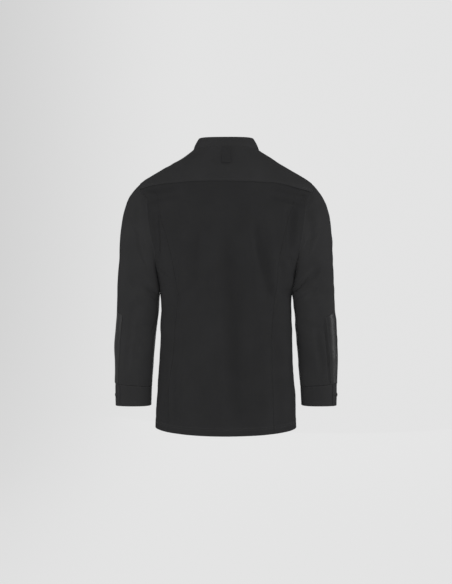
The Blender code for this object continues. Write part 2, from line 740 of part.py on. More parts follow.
def build_hanger_loop(collection):
    """A strip that runs down from the collar, folds over at its foot and runs back up underneath."""
    top = NECK_ROW - LOOP_TOP_DROP / YOKE_ROW_LENGTH
    foot = top - LOOP_LENGTH / YOKE_ROW_LENGTH
    last = 2 * LOOP_DOWN_STEPS + LOOP_TURN_STEPS

    def place(across, step):
        part, height = loop_path(step)
        row = blend(top, foot, part)
        half_angle = LOOP_WIDTH / 2 / smooth_value(BODY["half_width"], row, SHOULDER_ROW)
        return body_point(half_angle * (2 * across - 1), row, height)[0]

    def surface(column, row):
        before = place(column / 2, max(row - 1, 0))
        after = place(column / 2, min(row + 1, last))
        normal = Vector((1.0, 0.0, 0.0)).cross(after - before).normalized()
        return place(column / 2, row), normal

    cloth_piece("hanger_loop", surface, 2, last, LOOP_WALL, TWILL, collection)


def button_mesh(name, radius, thickness):
    mesh = bpy.data.meshes.new(name)
    points = [(radius * across, 0.0, thickness * up) for across, up in BUTTON_OUTLINE]
    mesh.from_pydata(points, [(step, step + 1) for step in range(len(points) - 1)], [])
    return mesh


def add_button(name, mesh, point, normal, collection):
    button = bpy.data.objects.new(name, mesh)
    button.location = point + normal * BUTTON_SEAT
    button.rotation_mode = "QUATERNION"
    button.rotation_quaternion = normal.to_track_quat("Z", "Y")
    turn = button.modifiers.new("turned", "SCREW")
    turn.steps = BUTTON_SIDES
    turn.render_steps = BUTTON_SIDES
    turn.use_merge_vertices = True
    turn.merge_threshold = MERGE_DISTANCE
    turn.use_smooth_shade = True
    collection.objects.link(button)


def front_spot(x, height):
    """Angle and row of the place on the front at a distance to the wearer's left and a height."""
    row = ARMHOLE_MIDDLE_ROW
    for _ in range(SOLVER_ROUNDS):
        angle = solve(lambda turn: x - plain_body_point(turn, row).x,
                      math.pi - FRONT_EDGE_LIMIT, math.pi + FRONT_EDGE_LIMIT)
        row = solve(lambda level: plain_body_point(angle, level).z - height, 0.0, float(NECK_ROW))
    return angle, row


def build_buttons(collection):
    mesh = button_mesh("front_button", BUTTON_RADIUS, BUTTON_THICKNESS)
    mesh.materials.append(finish_material("front_button_finish", MATT_PLASTIC))
    for column, hand in (("left", 1), ("right", -1)):
        for number, (height, offset) in enumerate(zip(BUTTON_HEIGHTS, BUTTON_OFFSETS), start=1):
            point, normal = body_point(*front_spot(hand * offset, height))
            add_button(f"button_{column}_{number}", mesh, point, normal, collection)
    small = button_mesh("cuff_button", CUFF_BUTTON_RADIUS, CUFF_BUTTON_THICKNESS)
    small.materials.append(finish_material("cuff_button_finish", MATT_PLASTIC))
    for name, hand in (("left", 1), ("right", -1)):
        point, normal = cuff_point(hand, CUFF_BUTTON_ANGLE, 0.5, CUFF_LIFT)
        add_button(f"cuff_button_{name}", small, point, normal, collection)


def main():
    collection = fresh_collection("chef_jacket")
    build_back(collection)
    build_yoke(collection)
    build_fronts(collection)
    build_collar(collection)
    for name, hand in (("left", 1), ("right", -1)):
        build_sleeve(name, hand, collection)
        build_sleeve_placket(name, hand, collection)
        build_cuff(name, hand, collection)
    build_hanger_loop(collection)
    build_buttons(collection)


main()
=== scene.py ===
"""Chef jacket in its worn shape with nobody in it: cloth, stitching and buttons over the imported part.

Metres, +Z up. The front faces -Y and the wearer's left is +X.
A point of the body has an angle, 0 at the centre back and positive towards the wearer's left, and a row of
BODY_SECTIONS. A point of a sleeve has a turn, 0 at its outer side and a quarter at its back, and a row.
"""
from math import ceil, cos, hypot, pi, radians, sin

import bpy
import numpy as np
from mathutils import Matrix, Vector


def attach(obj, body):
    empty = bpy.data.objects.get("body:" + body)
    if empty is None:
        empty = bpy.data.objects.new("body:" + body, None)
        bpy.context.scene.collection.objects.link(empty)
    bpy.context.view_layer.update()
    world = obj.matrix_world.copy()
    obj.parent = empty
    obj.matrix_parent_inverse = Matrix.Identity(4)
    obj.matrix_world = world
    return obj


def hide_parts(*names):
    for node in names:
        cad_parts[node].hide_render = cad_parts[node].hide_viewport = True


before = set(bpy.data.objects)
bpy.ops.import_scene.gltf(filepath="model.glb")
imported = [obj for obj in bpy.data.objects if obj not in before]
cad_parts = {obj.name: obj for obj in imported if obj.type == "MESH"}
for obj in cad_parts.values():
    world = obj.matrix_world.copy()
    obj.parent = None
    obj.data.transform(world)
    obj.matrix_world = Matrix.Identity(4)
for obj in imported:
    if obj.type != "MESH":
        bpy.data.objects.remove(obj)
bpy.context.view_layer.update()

# ---------------------------------------------------------------- the cut

# side, back and front height, half width, back and front depth, squareness; rows: hem, hip, waist, high waist,
# ribs, armpit, chest, shoulder blade, upper back, shoulder point, mid shoulder, neck seam
BODY_SECTIONS = (
    (-0.7458, -0.7545, -0.7500, 0.1895, 0.133, 0.135, 2.30),
    (-0.6600, -0.6620, -0.6620, 0.1850, 0.129, 0.131, 2.30),
    (-0.5600, -0.5600, -0.5600, 0.1797, 0.121, 0.126, 2.30),
    (-0.4600, -0.4600, -0.4620, 0.1756, 0.117, 0.124, 2.35),
    (-0.4000, -0.4000, -0.4050, 0.1768, 0.121, 0.127, 2.40),
    (-0.3450, -0.3450, -0.3550, 0.1840, 0.127, 0.131, 2.50),
    (-0.2850, -0.2850, -0.3000, 0.2040, 0.132, 0.134, 2.60),
    (-0.2150, -0.2150, -0.2400, 0.2220, 0.134, 0.133, 2.60),
    (-0.1500, -0.1520, -0.1950, 0.2265, 0.128, 0.127, 2.55),
    (-0.0895, -0.0970, -0.1600, 0.2275, 0.118, 0.115, 2.45),
    (-0.0465, -0.0460, -0.1170, 0.1575, 0.100, 0.096, 2.25),
    (-0.0035, 0.0000, -0.0750, 0.0890, 0.074, 0.074, 2.10),
)
ARMPIT_ROW = 5
SHOULDER_ROW = 9
NECK_ROW = 11
CORNER_SHARE = 0.80

ARMHOLE_BACK_REACH = radians(32.0)
ARMHOLE_FRONT_REACH = radians(35.0)
ARMHOLE_MIDDLE_ANGLE = radians(90.0)
ARMHOLE_MIDDLE_ROW = (ARMPIT_ROW + SHOULDER_ROW) / 2
ARMHOLE_HALF_ROWS = (SHOULDER_ROW - ARMPIT_ROW) / 2
ARMHOLE_GROWTH = 0.0007
YOKE_TURN = radians(36.0)
YOKE_ARCH_ROWS = 0.382
YOKE_ARCH_POWER = 2.3
YOKE_SQUARENESS = 2.5
YOKE_UNDERLAP_ROWS = 0.209
YOKE_RECESS_FADE_ROWS = 0.55

# height, left, right: half the width of the centre back
PRINCESS_SEAM = np.array((
    (-0.745, 0.1520, 0.1230),
    (-0.640, 0.1480, 0.1230),
    (-0.560, 0.1390, 0.1220),
    (-0.500, 0.1350, 0.1210),
    (-0.430, 0.1300, 0.1250),
    (-0.380, 0.1290, 0.1270),
    (-0.310, 0.1380, 0.1330),
    (-0.240, 0.1560, 0.1500),
    (-0.185, 0.1750, 0.1740),
    (-0.115, 0.1960, 0.1960),
))
PRINCESS_TOP_ROW = 8.4

# height, how far the front passes the centre
FRONT_EDGE = np.array((
    (-0.750, 0.072),
    (-0.500, 0.078),
    (-0.250, 0.080),
    (-0.170, 0.074),
    (-0.110, 0.046),
    (-0.075, 0.026),
))
OVERLAP_FADE = 0.016

# outer x and z, inner x and z, half depth, middle y; rows: armhole, cap, high cap, upper arm, biceps,
# above elbow, elbow, forearm, low forearm, cuff seam
SLEEVE_SECTIONS = (
    (0.2275, -0.0895, 0.1840, -0.3450, 0.0770, -0.001),
    (0.2470, -0.1065, 0.1825, -0.3510, 0.0740, -0.002),
    (0.2646, -0.1352, 0.1798, -0.3615, 0.0715, -0.004),
    (0.2770, -0.1780, 0.1776, -0.3790, 0.0690, -0.006),
    (0.2842, -0.2350, 0.1806, -0.4020, 0.0670, -0.008),
    (0.2890, -0.3100, 0.1826, -0.4300, 0.0640, -0.010),
    (0.2938, -0.3900, 0.1868, -0.4700, 0.0600, -0.014),
    (0.2980, -0.4700, 0.1915, -0.5150, 0.0560, -0.020),
    (0.3013, -0.5480, 0.1970, -0.5650, 0.0500, -0.027),
    (0.3028, -0.6285, 0.2030, -0.6285, 0.0410, -0.033),
)
SLEEVE_SQUARENESS = 2.8
CUFF_SQUARENESS = 2.5
SLEEVE_BLEND_ROWS = 2.2
SLEEVE_ROW_LENGTH = 0.060
SLEEVE_MEAN_RADIUS = 0.060
SLEEVE_LAST_ROW = len(SLEEVE_SECTIONS) - 1
SLEEVE_HEAD_ROW = 0.35
PLACKET_ANGLES = (radians(28.0), radians(54.0))
PLACKET_SHIFTS = {1: radians(-7.0), -1: radians(4.0)}
PLACKET_ROWS = (6.55, 8.97)
PLACKET_LEAN = radians(9.0)

CUFF_TOP = -0.6289
CUFF_HEIGHT = 0.0632
CUFF_SEAM_DROP = (0.0110, 0.0030)
CUFF_SEAM_DROP_ROWS = 1.3
CUFF_HALF_WIDTHS = (0.0485, 0.0470)
CUFF_MIDDLES_X = (0.2516, 0.2522)
CUFF_HALF_DEPTH = 0.0395
CUFF_MIDDLE_Y = -0.033
CUFF_END_ANGLE = radians(47.0)
CUFF_LAP_ANGLE = radians(38.0)
CUFF_FADE_ANGLE = radians(34.0)
CUFF_BUTTON_ANGLE = radians(29.0)

COLLAR_TOP_HEIGHTS = (0.0290, 0.0262, -0.0405)
COLLAR_TOP_HALF_WIDTH = 0.0735
COLLAR_TOP_DEPTHS = (0.0600, 0.0700)
COLLAR_TOP_SQUARENESS = 2.35
COLLAR_END_ANGLE = radians(178.2)
COLLAR_BELLY = 0.0020
COLLAR_CORNER_ANGLE = 0.30
COLLAR_CORNER_SHARE = 0.22

LOOP_WIDTH = 0.0235
LOOP_TOP_DROP = 0.0045
LOOP_LENGTH = 0.0530
LOOP_WALL = 0.0009
LOOP_LEAF_GAP = 0.0003
LOOP_FOOT_RISE = 0.0046
LOOP_SEAT = 0.0003
YOKE_ROW_LENGTH = 0.053

BUTTON_RADIUS = 0.0090
CUFF_BUTTON_RADIUS = 0.0060
BUTTON_HEIGHTS = (-0.155, -0.245, -0.335, -0.425, -0.515)
BUTTON_OFFSETS = (0.056, 0.062, 0.062, 0.062, 0.062)

WALL = 0.0015
FIRM_WALL = 0.0020
STRIP_WALL = 0.0012
SEAM_GAP = 0.00010
STRIP_GAP = 0.0005
LAYER_DROP = WALL + 0.0009
SMALL = 1e-4
SIDES = (("left", 1), ("right", -1))

# ---------------------------------------------------------------- the drape

# millimetres: from x, z, to x, z, bow, half width, rise; broad folds first, then the creases on them
BACK_FOLDS = (
    (-106, -195, -128, -400, 4, 17, 6.8),
    (-70, -205, -114, -412, 4, 19, -7.8),
    (-48, -155, -80, -420, 3, 22, 5.9),
    (92, -205, 100, -380, -4, 28, 8),
    (128, -290, 132, -470, 0, 12, -3.5),
    (50, -205, 44, -400, 0, 20, 4.5),
    (-10, -200, -41, -765, 4, 52, -18.8),
    (-10, -420, -22, -745, 0, 30, -6.6),
    (146, -540, 140, -740, 0, 16, 4.9),
    (-150, -290, -166, -378, 4, 19, 6.6),
    (190, -170, 184, -300, 2, 15, -11),
    (232, -138, 115, -122, 0, 22, -9.5),
    (-230, -150, -110, -124, 0, 22, -7.5),
    (-212, -128, -208, -144, 0, 8, -6),
    (-174, -155, -166, -288, 0, 20, -14),
    (-92, -440, -104, -740, 4, 24, 6),
    (68, -380, 60, -740, -4, 44, 7.5),
    (118, -470, 128, -742, -4, 18, -5.5),
    (-120, -430, -134, -735, 0, 18, -5.5),
    (-150, -450, -160, -735, 3, 18, 5),
    (-155, -286, -178, -304, 0, 6, -3.5),
    (-142, -374, -172, -394, 2, 7, -3.8),
    (-134, -396, -114, -452, 3, 10, -3),
    (154, -352, 124, -412, 3, 10, -3.2),
    (174, -328, 148, -352, 0, 8, -3.2),
    (20, -270, 34, -500, 6, 18, 2.4),
)
FRONT_FOLDS = (
    (-120, -205, -142, -420, 6, 20, -5.2),
    (-140, -230, -156, -400, 6, 17, 4.6),
    (118, -215, 144, -430, 6, 20, -5.2),
    (142, -240, 160, -400, 4, 17, 4.4),
    (-156, -340, -112, -560, 0, 22, 4.6),
    (154, -350, 110, -600, 0, 22, 4.6),
    (-128, -440, -104, -740, 3, 22, -4),
    (132, -470, 112, -742, 0, 24, -4),
    (-148, -560, -142, -742, 0, 18, 3.6),
    (150, -580, 146, -742, 0, 16, 3.4),
    (-168, -326, -126, -378, 4, 9, -2.8),
    (170, -334, 128, -394, -4, 9, -2.8),
    (-160, -360, -136, -430, 4, 9, -2),
    (-104, -190, -92, -330, 4, 16, 2.8),
    (102, -200, 94, -340, 4, 16, 2.6),
    (-20, -400, 18, -640, 6, 24, -2),
)

# from angle in degrees, row, to angle, row, then half width and rise in millimetres
SLEEVE_FOLDS = {
    1: (
        (150, 3.4, 70, 5.2, 20, -4.8),
        (130, 4.4, 60, 6.3, 17, 4),
        (60, 1.2, 100, 3.2, 20, -2.6),
        (-150, 3.2, -70, 5, 20, -4.8),
        (-120, 5.2, -40, 6.2, 18, -3.8),
        (172, 5.3, 136, 6.7, 7, -3),
        (162, 3.9, 90, 5.5, 9, -2.8),
        (96, 1.6, 60, 2.6, 10, -2),
        (60, 2.2, 30, 3.4, 12, -2),
        (150, 6, 90, 6.9, 12, -2),
        (110, 7.2, 60, 7.7, 12, 1.6),
        (84, 6.2, 72, 8.6, 14, -2.2),
        (-150, 4.2, -90, 5.6, 10, -2.8),
        (-60, 2, -20, 3.2, 14, -2),
        (-140, 6.4, -70, 7.2, 12, -2.2),
    ),
    -1: (
        (155, 3, 80, 4.6, 18, -4.8),
        (120, 5, 50, 6, 17, -3.6),
        (50, 1, 90, 3, 20, 2.2),
        (-145, 3.4, -60, 5.4, 20, -4.8),
        (-120, 5.6, -50, 6.6, 18, 3.8),
        (25, 6.4, 21, 8.95, 9, 1.2),
        (71, 6.6, 62, 8.95, 4.5, -3.6),
        (162, 3.3, 104, 4.1, 8, -2.8),
        (152, 4.2, 86, 5.2, 9, -2.4),
        (100, 1.4, 70, 2.6, 12, -2),
        (140, 6.2, 70, 7, 12, -2.2),
        (96, 6.6, 84, 8.7, 14, -2.2),
        (-155, 4, -90, 5.2, 10, -2.8),
        (-50, 1.8, -25, 3.4, 14, -2),
        (-130, 6.8, -80, 7.6, 12, -2),
    ),
}


def curve_values(values, position, corner=None):
    """A smooth curve through values that stand at 0, 1, 2 and so on."""
    values = np.asarray(values, float)
    gaps = np.diff(values)
    before = np.concatenate([gaps[:1], gaps])
    after = np.concatenate([gaps, gaps[-1:]])
    share = np.full(len(values), 0.5)
    if corner is not None:
        share[corner] = CORNER_SHARE
    slope = before + (after - before) * share
    position = np.clip(position, 0.0, len(values) - 1.0)
    index = np.minimum(position.astype(int), len(values) - 2)
    part = position - index
    rise = values[index + 1] - values[index]
    first, second = slope[index], slope[index + 1]
    squared = 3 * rise - 2 * first - second
    cubed = first + second - 2 * rise
    return values[index] + part * (first + part * (squared + part * cubed))


def soft_step(value):
    value = np.clip(value, 0.0, 1.0)
    return value * value * (3 - 2 * value)


def fade(value):
    return 1 - soft_step(value)


def blend(low, high, part):
    return low + (high - low) * part


def oval(angle, squareness):
    side, back = np.sin(angle), np.cos(angle)
    reach = (np.abs(side) ** squareness + np.abs(back) ** squareness) ** (-1 / squareness)
    return side * reach, back * reach


def unit(vectors):
    return vectors / np.maximum(np.linalg.norm(vectors, axis=-1, keepdims=True), 1e-12)


def together(*values):
    return np.broadcast_arrays(*(np.asarray(value, float) for value in values))


def between_sections(sections, row, corner=None):
    """Smooth values between the sections, for each of their columns."""
    return [curve_values(column, row, corner) for column in zip(*sections)]


def height_round(angle, back, side_height, back_height, front_height):
    """Height of a ring that has one height at its sides and others at its back and front."""
    return blend(side_height, np.where(back > 0, back_height, front_height), np.cos(angle) ** 2)


def plain_body(angle, row):
    angle, row = together(angle, row)
    *heights, width, back_depth, front_depth, square = between_sections(BODY_SECTIONS, row, SHOULDER_ROW)
    side, back = oval(angle, square)
    depth = np.where(back > 0, back_depth, front_depth)
    return np.stack([width * side, depth * back, height_round(angle, back, *heights)], axis=-1)


def facing(surface, turn, row, low, high):
    """Directions square to a surface, from its slope between two rows and its slope round it."""
    along = surface(turn, high) - surface(turn, low)
    return unit(np.cross(along, surface(turn + SMALL, row) - surface(turn - SMALL, row)))


def body_normal(angle, row):
    return facing(plain_body, angle, row, np.maximum(row - SMALL, 0.0), np.minimum(row + SMALL, NECK_ROW))


def fold_rise(across, along, start, end, bow, half_width, rise):
    line_across, line_along = end[0] - start[0], end[1] - start[1]
    length = hypot(line_across, line_along)
    part = ((across - start[0]) * line_across + (along - start[1]) * line_along) / length ** 2
    aside = ((across - start[0]) * line_along - (along - start[1]) * line_across) / length
    aside = (aside - bow * 4 * part * (1 - part)) / half_width
    fade = 1 - (2 * part - 1) ** 4
    height = rise * fade * (1 - aside * aside) ** 2
    return np.where((part > 0) & (part < 1) & (np.abs(aside) < 1), height, 0.0)


def wobble(points, seed, reach):
    """Soft unevenness of hanging cloth: a few long waves that cross one another."""
    draw = np.random.default_rng(seed)
    total = np.zeros(points.shape[:-1])
    for wavelength in (0.16, 0.11, 0.082, 0.061, 0.043, 0.031):
        direction = unit(draw.normal(size=3))
        phase = draw.uniform(0, 2 * pi)
        bend = np.sin(points @ unit(draw.normal(size=3)) * 2 * pi / (wavelength * 2.3) + phase)
        total += wavelength * np.sin(points @ direction * 2 * pi / wavelength + phase + 1.4 * bend)
    return total * reach


def body_drape(points):
    total = wobble(points, 11, 0.0052)
    for on_back, folds in ((True, BACK_FOLDS), (False, FRONT_FOLDS)):
        for *ends, bow, half_width, rise in np.array(folds) / 1000:
            fold = fold_rise(points[..., 0], points[..., 2], ends[:2], ends[2:], bow, half_width, rise)
            total += np.where((points[..., 1] > 0) == on_back, fold, 0.0)
    return total


def body(angle, row, out=0.0):
    """Points of the draped body moved out from it, and the directions that point away from it."""
    points, normal = plain_body(angle, row), body_normal(angle, row)
    return points + normal * (body_drape(points) + out)[..., None], normal


def seam_inset(angle, row):
    step = plain_body(angle + SMALL, row) - plain_body(angle - SMALL, row)
    return 0.5 * SEAM_GAP * 2 * SMALL / np.linalg.norm(step, axis=-1)


def solve(function, low, high):
    """Where a function that rises from below zero reaches zero, for each item of an array."""
    for _ in range(34):
        middle = 0.5 * (low + high)
        below = function(middle) < 0
        low, high = np.where(below, middle, low), np.where(below, high, middle)
    return 0.5 * (low + high)


def princess_angle(hand, row):
    row = np.minimum(row, PRINCESS_TOP_ROW)
    column = PRINCESS_SEAM[:, 1 if hand > 0 else 2]

    def past_seam(angle):
        point = plain_body(angle, row)
        return point[..., 0] - np.interp(point[..., 2], PRINCESS_SEAM[:, 0], column)

    return solve(past_seam, np.zeros_like(row), np.full_like(row, radians(88)))


def past_front_edge(angle, row):
    """How far a point of the front is beyond the line that the front's edge follows."""
    point = plain_body(angle, row)
    return -point[..., 0] - np.interp(point[..., 2], *FRONT_EDGE.T)


def front_edge_angle(row):
    return solve(lambda angle: past_front_edge(angle, row), np.full_like(row, pi), np.full_like(row, radians(240)))


def armhole(turn, growth=0.0):
    reach = np.where(np.sin(turn) > 0, ARMHOLE_BACK_REACH, ARMHOLE_FRONT_REACH)
    angle = ARMHOLE_MIDDLE_ANGLE - reach * (1 + growth) * np.sin(turn)
    return angle, ARMHOLE_MIDDLE_ROW + ARMHOLE_HALF_ROWS * (1 + growth) * np.cos(turn)


YOKE_END_ANGLE, YOKE_END_ROW = (float(value) for value in armhole(YOKE_TURN, ARMHOLE_GROWTH))
YOKE_FRONT_ANGLE = float(armhole(-YOKE_TURN)[0])
ARMPIT_LEVEL = float(armhole(pi, ARMHOLE_GROWTH)[1])
NECK_TOP_ROW = NECK_ROW - 0.5 * SEAM_GAP / YOKE_ROW_LENGTH


def yoke_rise(angle):
    angle = np.minimum(np.abs(angle), YOKE_END_ANGLE)
    part = oval(angle, YOKE_SQUARENESS)[0] / oval(YOKE_END_ANGLE, YOKE_SQUARENESS)[0]
    return YOKE_ARCH_ROWS * (1 - part ** YOKE_ARCH_POWER)


def yoke_recess(angle, row):
    below = YOKE_END_ROW + yoke_rise(angle) - row
    return -LAYER_DROP * fade(below / YOKE_RECESS_FADE_ROWS)


def arched_row(angle, row, share=1.0):
    bend = soft_step((row - ARMPIT_ROW) / (YOKE_END_ROW - ARMPIT_ROW))
    return row + yoke_rise(angle) * bend * share


# ---------------------------------------------------------------- finishes

def fill(node, **values):
    """Sets inputs of a node by their names, with an underscore for each space."""
    for label, value in values.items():
        node.inputs[label.replace("_", " ")].default_value = value
    return node


def new_node(tree, kind, **values):
    return fill(tree.nodes.new("ShaderNode" + kind), **values)


def wire(tree, *links):
    for source, target in links:
        tree.links.new(source, target)


def math_node(tree, operation, *values):
    node = new_node(tree, "Math")
    node.operation = operation
    for socket, value in zip(node.inputs, values):
        if isinstance(value, (int, float)):
            socket.default_value = value
        else:
            wire(tree, (value, socket))
    return node.outputs[0]


def times(tree, first, second):
    return math_node(tree, "MULTIPLY", first, second)


def plus(tree, first, second):
    return math_node(tree, "ADD", first, second)


def scaled(tree, value, size, shift):
    return plus(tree, times(tree, value, size), shift)


def wave(tree, distance, turn):
    return math_node(tree, "SINE", times(tree, distance, turn))


def effect(name, outputs, **numbers):
    """An empty effect that takes a place and some numbers."""
    group = bpy.data.node_groups.new(name, "ShaderNodeTree")
    group.interface.new_socket("Place", in_out="INPUT", socket_type="NodeSocketVector")
    for label, value in numbers.items():
        socket = group.interface.new_socket(label.replace("_", " "), in_out="INPUT", socket_type="NodeSocketFloat")
        socket.default_value = value
    for label in outputs:
        group.interface.new_socket(label, in_out="OUTPUT", socket_type="NodeSocketFloat")
    return group, group.nodes.new("NodeGroupInput").outputs, group.nodes.new("NodeGroupOutput").inputs


def weave_effect(name, outputs, **pitch):
    """An effect that knows its place across and along the cloth, and how much a wave turns for each metre."""
    group, given, made = effect(name, outputs, **pitch)
    split = new_node(group, "SeparateXYZ")
    wire(group, (given["Place"], split.inputs[0]))
    return group, made, split.outputs[0], split.outputs[1], math_node(group, "DIVIDE", 2 * pi, given[1])


def twill_effect():
    """Diagonal ribs of a twill, each broken into the floats of its yarns."""
    group, made, across, along, turn = weave_effect("twill weave", ("Height", "Rib"), Rib_pitch=0.0011)
    slant = plus(group, times(group, across, 0.80), times(group, along, 0.60))
    steps = math_node(group, "SUBTRACT", times(group, along, 0.80), times(group, across, 0.60))
    rib = scaled(group, wave(group, slant, turn), 0.5, 0.5)
    yarn = scaled(group, wave(group, times(group, steps, 1.7), turn), 0.22, 0.78)
    # Rib also goes into the cloth's colour as painted shade, darker between the ribs
    wire(group, (times(group, rib, yarn), made["Height"]), (rib, made["Rib"]))
    return group


def knit_effect():
    """Small staggered cells of a fine birdseye knit."""
    group, made, across, along, turn = weave_effect("birdseye knit", ("Height", "Hollow"), Cell=0.0020)
    cells = scaled(group, times(group, wave(group, across, turn), wave(group, along, turn)), 0.5, 0.5)
    # Hollow goes into the cloth's colour as painted shade, darker in the hollows between the cells
    wire(group, (cells, made["Height"]), (math_node(group, "POWER", cells, 2.0), made["Hollow"]))
    return group


def unevenness_effect():
    """Slow changes of depth in a dyed cloth, and the lint on it."""
    group, given, made = effect("dye and lint", ("Dye", "Lint"))
    for label, scale, detail in (("Dye", 14.0, 3.0), ("Lint", 900.0, 2.0)):
        noise = new_node(group, "TexNoise", Scale=scale, Detail=detail)
        wire(group, (given["Place"], noise.inputs["Vector"]), (noise.outputs[0], made[label]))
    return group


EFFECTS = {"twill": twill_effect(), "knit": knit_effect(), "uneven": unevenness_effect()}


def use_effect(tree, key, place, **values):
    node = new_node(tree, "Group")
    node.node_tree = EFFECTS[key]
    wire(tree, (place, node.inputs["Place"]))
    return fill(node, **values).outputs


def new_finish(name):
    material = bpy.data.materials.new(name)
    material.use_nodes = True
    tree = material.node_tree
    return material, tree, tree.nodes["Principled BSDF"], new_node(tree, "TexCoord").outputs["Object"]


def colour_between(tree, share, dark, light):
    """A mix of two colours, each given as its red and green, which are the same, and its blue."""
    mix = new_node(tree, "Mix")
    mix.data_type = "RGBA"
    fill(mix, A=(dark[0], *dark, 1.0), B=(light[0], *light, 1.0))
    wire(tree, (share, mix.inputs["Factor"]))
    return mix.outputs["Result"]


def paint(tree, shader, share, dark, light, wear, smooth, rough):
    """Colour and roughness, each between two values by its own share."""
    spread_out = new_node(tree, "MapRange", To_Min=smooth, To_Max=rough)
    wire(tree, (colour_between(tree, share, dark, light), shader.inputs["Base Color"]),
         (wear, spread_out.inputs["Value"]), (spread_out.outputs["Result"], shader.inputs["Roughness"]))


def relief(tree, shader, height, strength, distance):
    bump = new_node(tree, "Bump", Strength=strength, Distance=distance)
    wire(tree, (height, bump.inputs["Height"]), (bump.outputs[0], shader.inputs["Normal"]))


def cloth_finish(name, key, texture, dark, light, roughness, scatter, sheen, bump, gloss=0.06, **values):
    """A dyed cloth: its weave gives small relief and painted shade, a darker colour in the weave's grooves and a
    lighter one on its crests, and its dye is uneven.
    """
    material, tree, shader, place = new_finish(name)
    weave_map = new_node(tree, "UVMap")
    weave_map.uv_map = "weave"
    weave = use_effect(tree, key, weave_map.outputs[0], **values)
    uneven = use_effect(tree, "uneven", place)
    # painted shade: the weave's height also sets the colour, darker in its grooves and lighter on its crests
    share = plus(tree, times(tree, weave[1], 0.45), times(tree, uneven["Dye"], 0.40))
    share = plus(tree, share, times(tree, uneven["Lint"], 0.15))
    paint(tree, shader, share, dark, light, uneven["Dye"], roughness - 0.05, roughness + 0.05)
    relief(tree, shader, weave["Height"], bump, texture)
    fill(shader, Diffuse_Roughness=scatter, Sheen_Weight=sheen, Sheen_Roughness=0.45,
         Sheen_Tint=(0.80, 0.80, 0.82, 1.0), Specular_IOR_Level=gloss)
    return material


def thread_finish():
    material, tree, shader, place = new_finish("black sewing thread")
    lint = use_effect(tree, "uneven", place)["Lint"]
    paint(tree, shader, lint, (0.014, 0.0145), (0.032, 0.033), lint, 0.45, 0.62)
    fill(shader, Sheen_Weight=0.2)
    return material


def button_finish():
    material, tree, shader, place = new_finish("matt black button")
    uneven = use_effect(tree, "uneven", place)
    paint(tree, shader, uneven["Dye"], (0.010, 0.0105), (0.020, 0.021), uneven["Lint"], 0.34, 0.50)
    relief(tree, shader, uneven["Lint"], 0.15, 0.00005)
    return material


# each cloth's colour holds painted shade in the grooves of its weave, from cloth_finish
TWILL = cloth_finish("black twill", "twill", 0.00010, (0.0214, 0.0219), (0.0463, 0.0475), 0.82, 0.45, 0.004, 0.55,
                     Rib_pitch=0.0011)
PRESSED = cloth_finish("black pressed twill", "twill", 0.00008, (0.0227, 0.0232), (0.0492, 0.0504), 0.29, 1.0, 0.015,
                       0.4, gloss=0.13, Rib_pitch=0.0011)
KNIT = cloth_finish("black birdseye knit", "knit", 0.00014, (0.0187, 0.0193), (0.0393, 0.0404), 0.90, 0.4, 0.003, 0.6,
                    Cell=0.0022)
TAPE = cloth_finish("black woven tape", "twill", 0.00012, (0.0189, 0.0195), (0.0407, 0.0418), 0.76, 1.0, 0.02, 0.7,
                    Rib_pitch=0.0016)
THREAD = thread_finish()
BUTTON = button_finish()

# ---------------------------------------------------------------- cloth and thread

CLOTH_STEP = 0.0042
BACK_WIDTH = 0.27
SIDE_BACK_WIDTH = 0.075
HEM_TO_ARMPIT = 0.405
YOKE_HEIGHT = 0.115
EDGE_STEPS = (0.0003, 0.0007, 0.0012, 0.0019, 0.0029, 0.0044, 0.0064)
STITCH_STEPS = (-0.0016, -0.0009, -0.0004, 0.0, 0.0004, 0.0009, 0.0016)
CLOSEST = 0.00026
SEAM_ROLL = 0.0003
HEM_ROLL = 0.0008
SOFT_ROLL = 0.0010
FIRM_ROLL = 0.0011
SEAM_ALLOWANCE = 0.0040
SEAM_OVERLAP = 0.0030


def spread(length, step=CLOTH_STEP, start=(), end=()):
    """Shares of a length, closer together at its two ends and at the stitch lines measured from each end."""
    marks = list(np.linspace(0.0, length, max(int(round(length / step)), 2) + 1))
    for near in EDGE_STEPS:
        marks += [near, length - near]
    marks += [line + near for line in start for near in STITCH_STEPS]
    marks += [length - line + near for line in end for near in STITCH_STEPS]
    kept = [0.0]
    for mark in sorted(marks):
        if CLOSEST < mark - kept[-1] and mark < length - CLOSEST:
            kept.append(mark)
    return np.array(kept + [length]) / length


def walked(points, axis):
    """Distance travelled along a line, or each line of a grid, from its start and from its end."""
    steps = np.linalg.norm(np.diff(points, axis=axis), axis=-1)
    travelled = np.concatenate([np.zeros_like(steps.take([0], axis=axis)), np.cumsum(steps, axis=axis)], axis=axis)
    return travelled, travelled.take([-1], axis=axis) - travelled


def distances(points):
    """Distances from the four edges of a grid: from its first and last row, and from its first and last column."""
    return (*walked(points, 0), *walked(points, 1))


def tucked(*from_seams):
    """The seam allowance: the last line of cloth before a seam turns straight in."""
    return sum(np.where(distance < SMALL / 10, -SEAM_ALLOWANCE, 0.0) for distance in from_seams)


def lap_seam(skin, last, beside):
    """The last line of cloth goes on past its seam, so that the two allowances of a curved seam overlap."""
    skin[last] += SEAM_OVERLAP * unit(skin[last] - skin[beside])


def rolled(distance, radius=SEAM_ROLL):
    """How far a cloth edge turns in, for its distance from the edge."""
    part = np.clip(1 - distance / radius, 0.0, 1.0)
    return -radius * (1 - np.sqrt(1 - part * part))


def sunk(distance, line, depth=0.00035, width=0.0009):
    """The groove that a row of stitches pulls into the cloth."""
    return -depth * np.exp(-((distance - line) / width) ** 2)


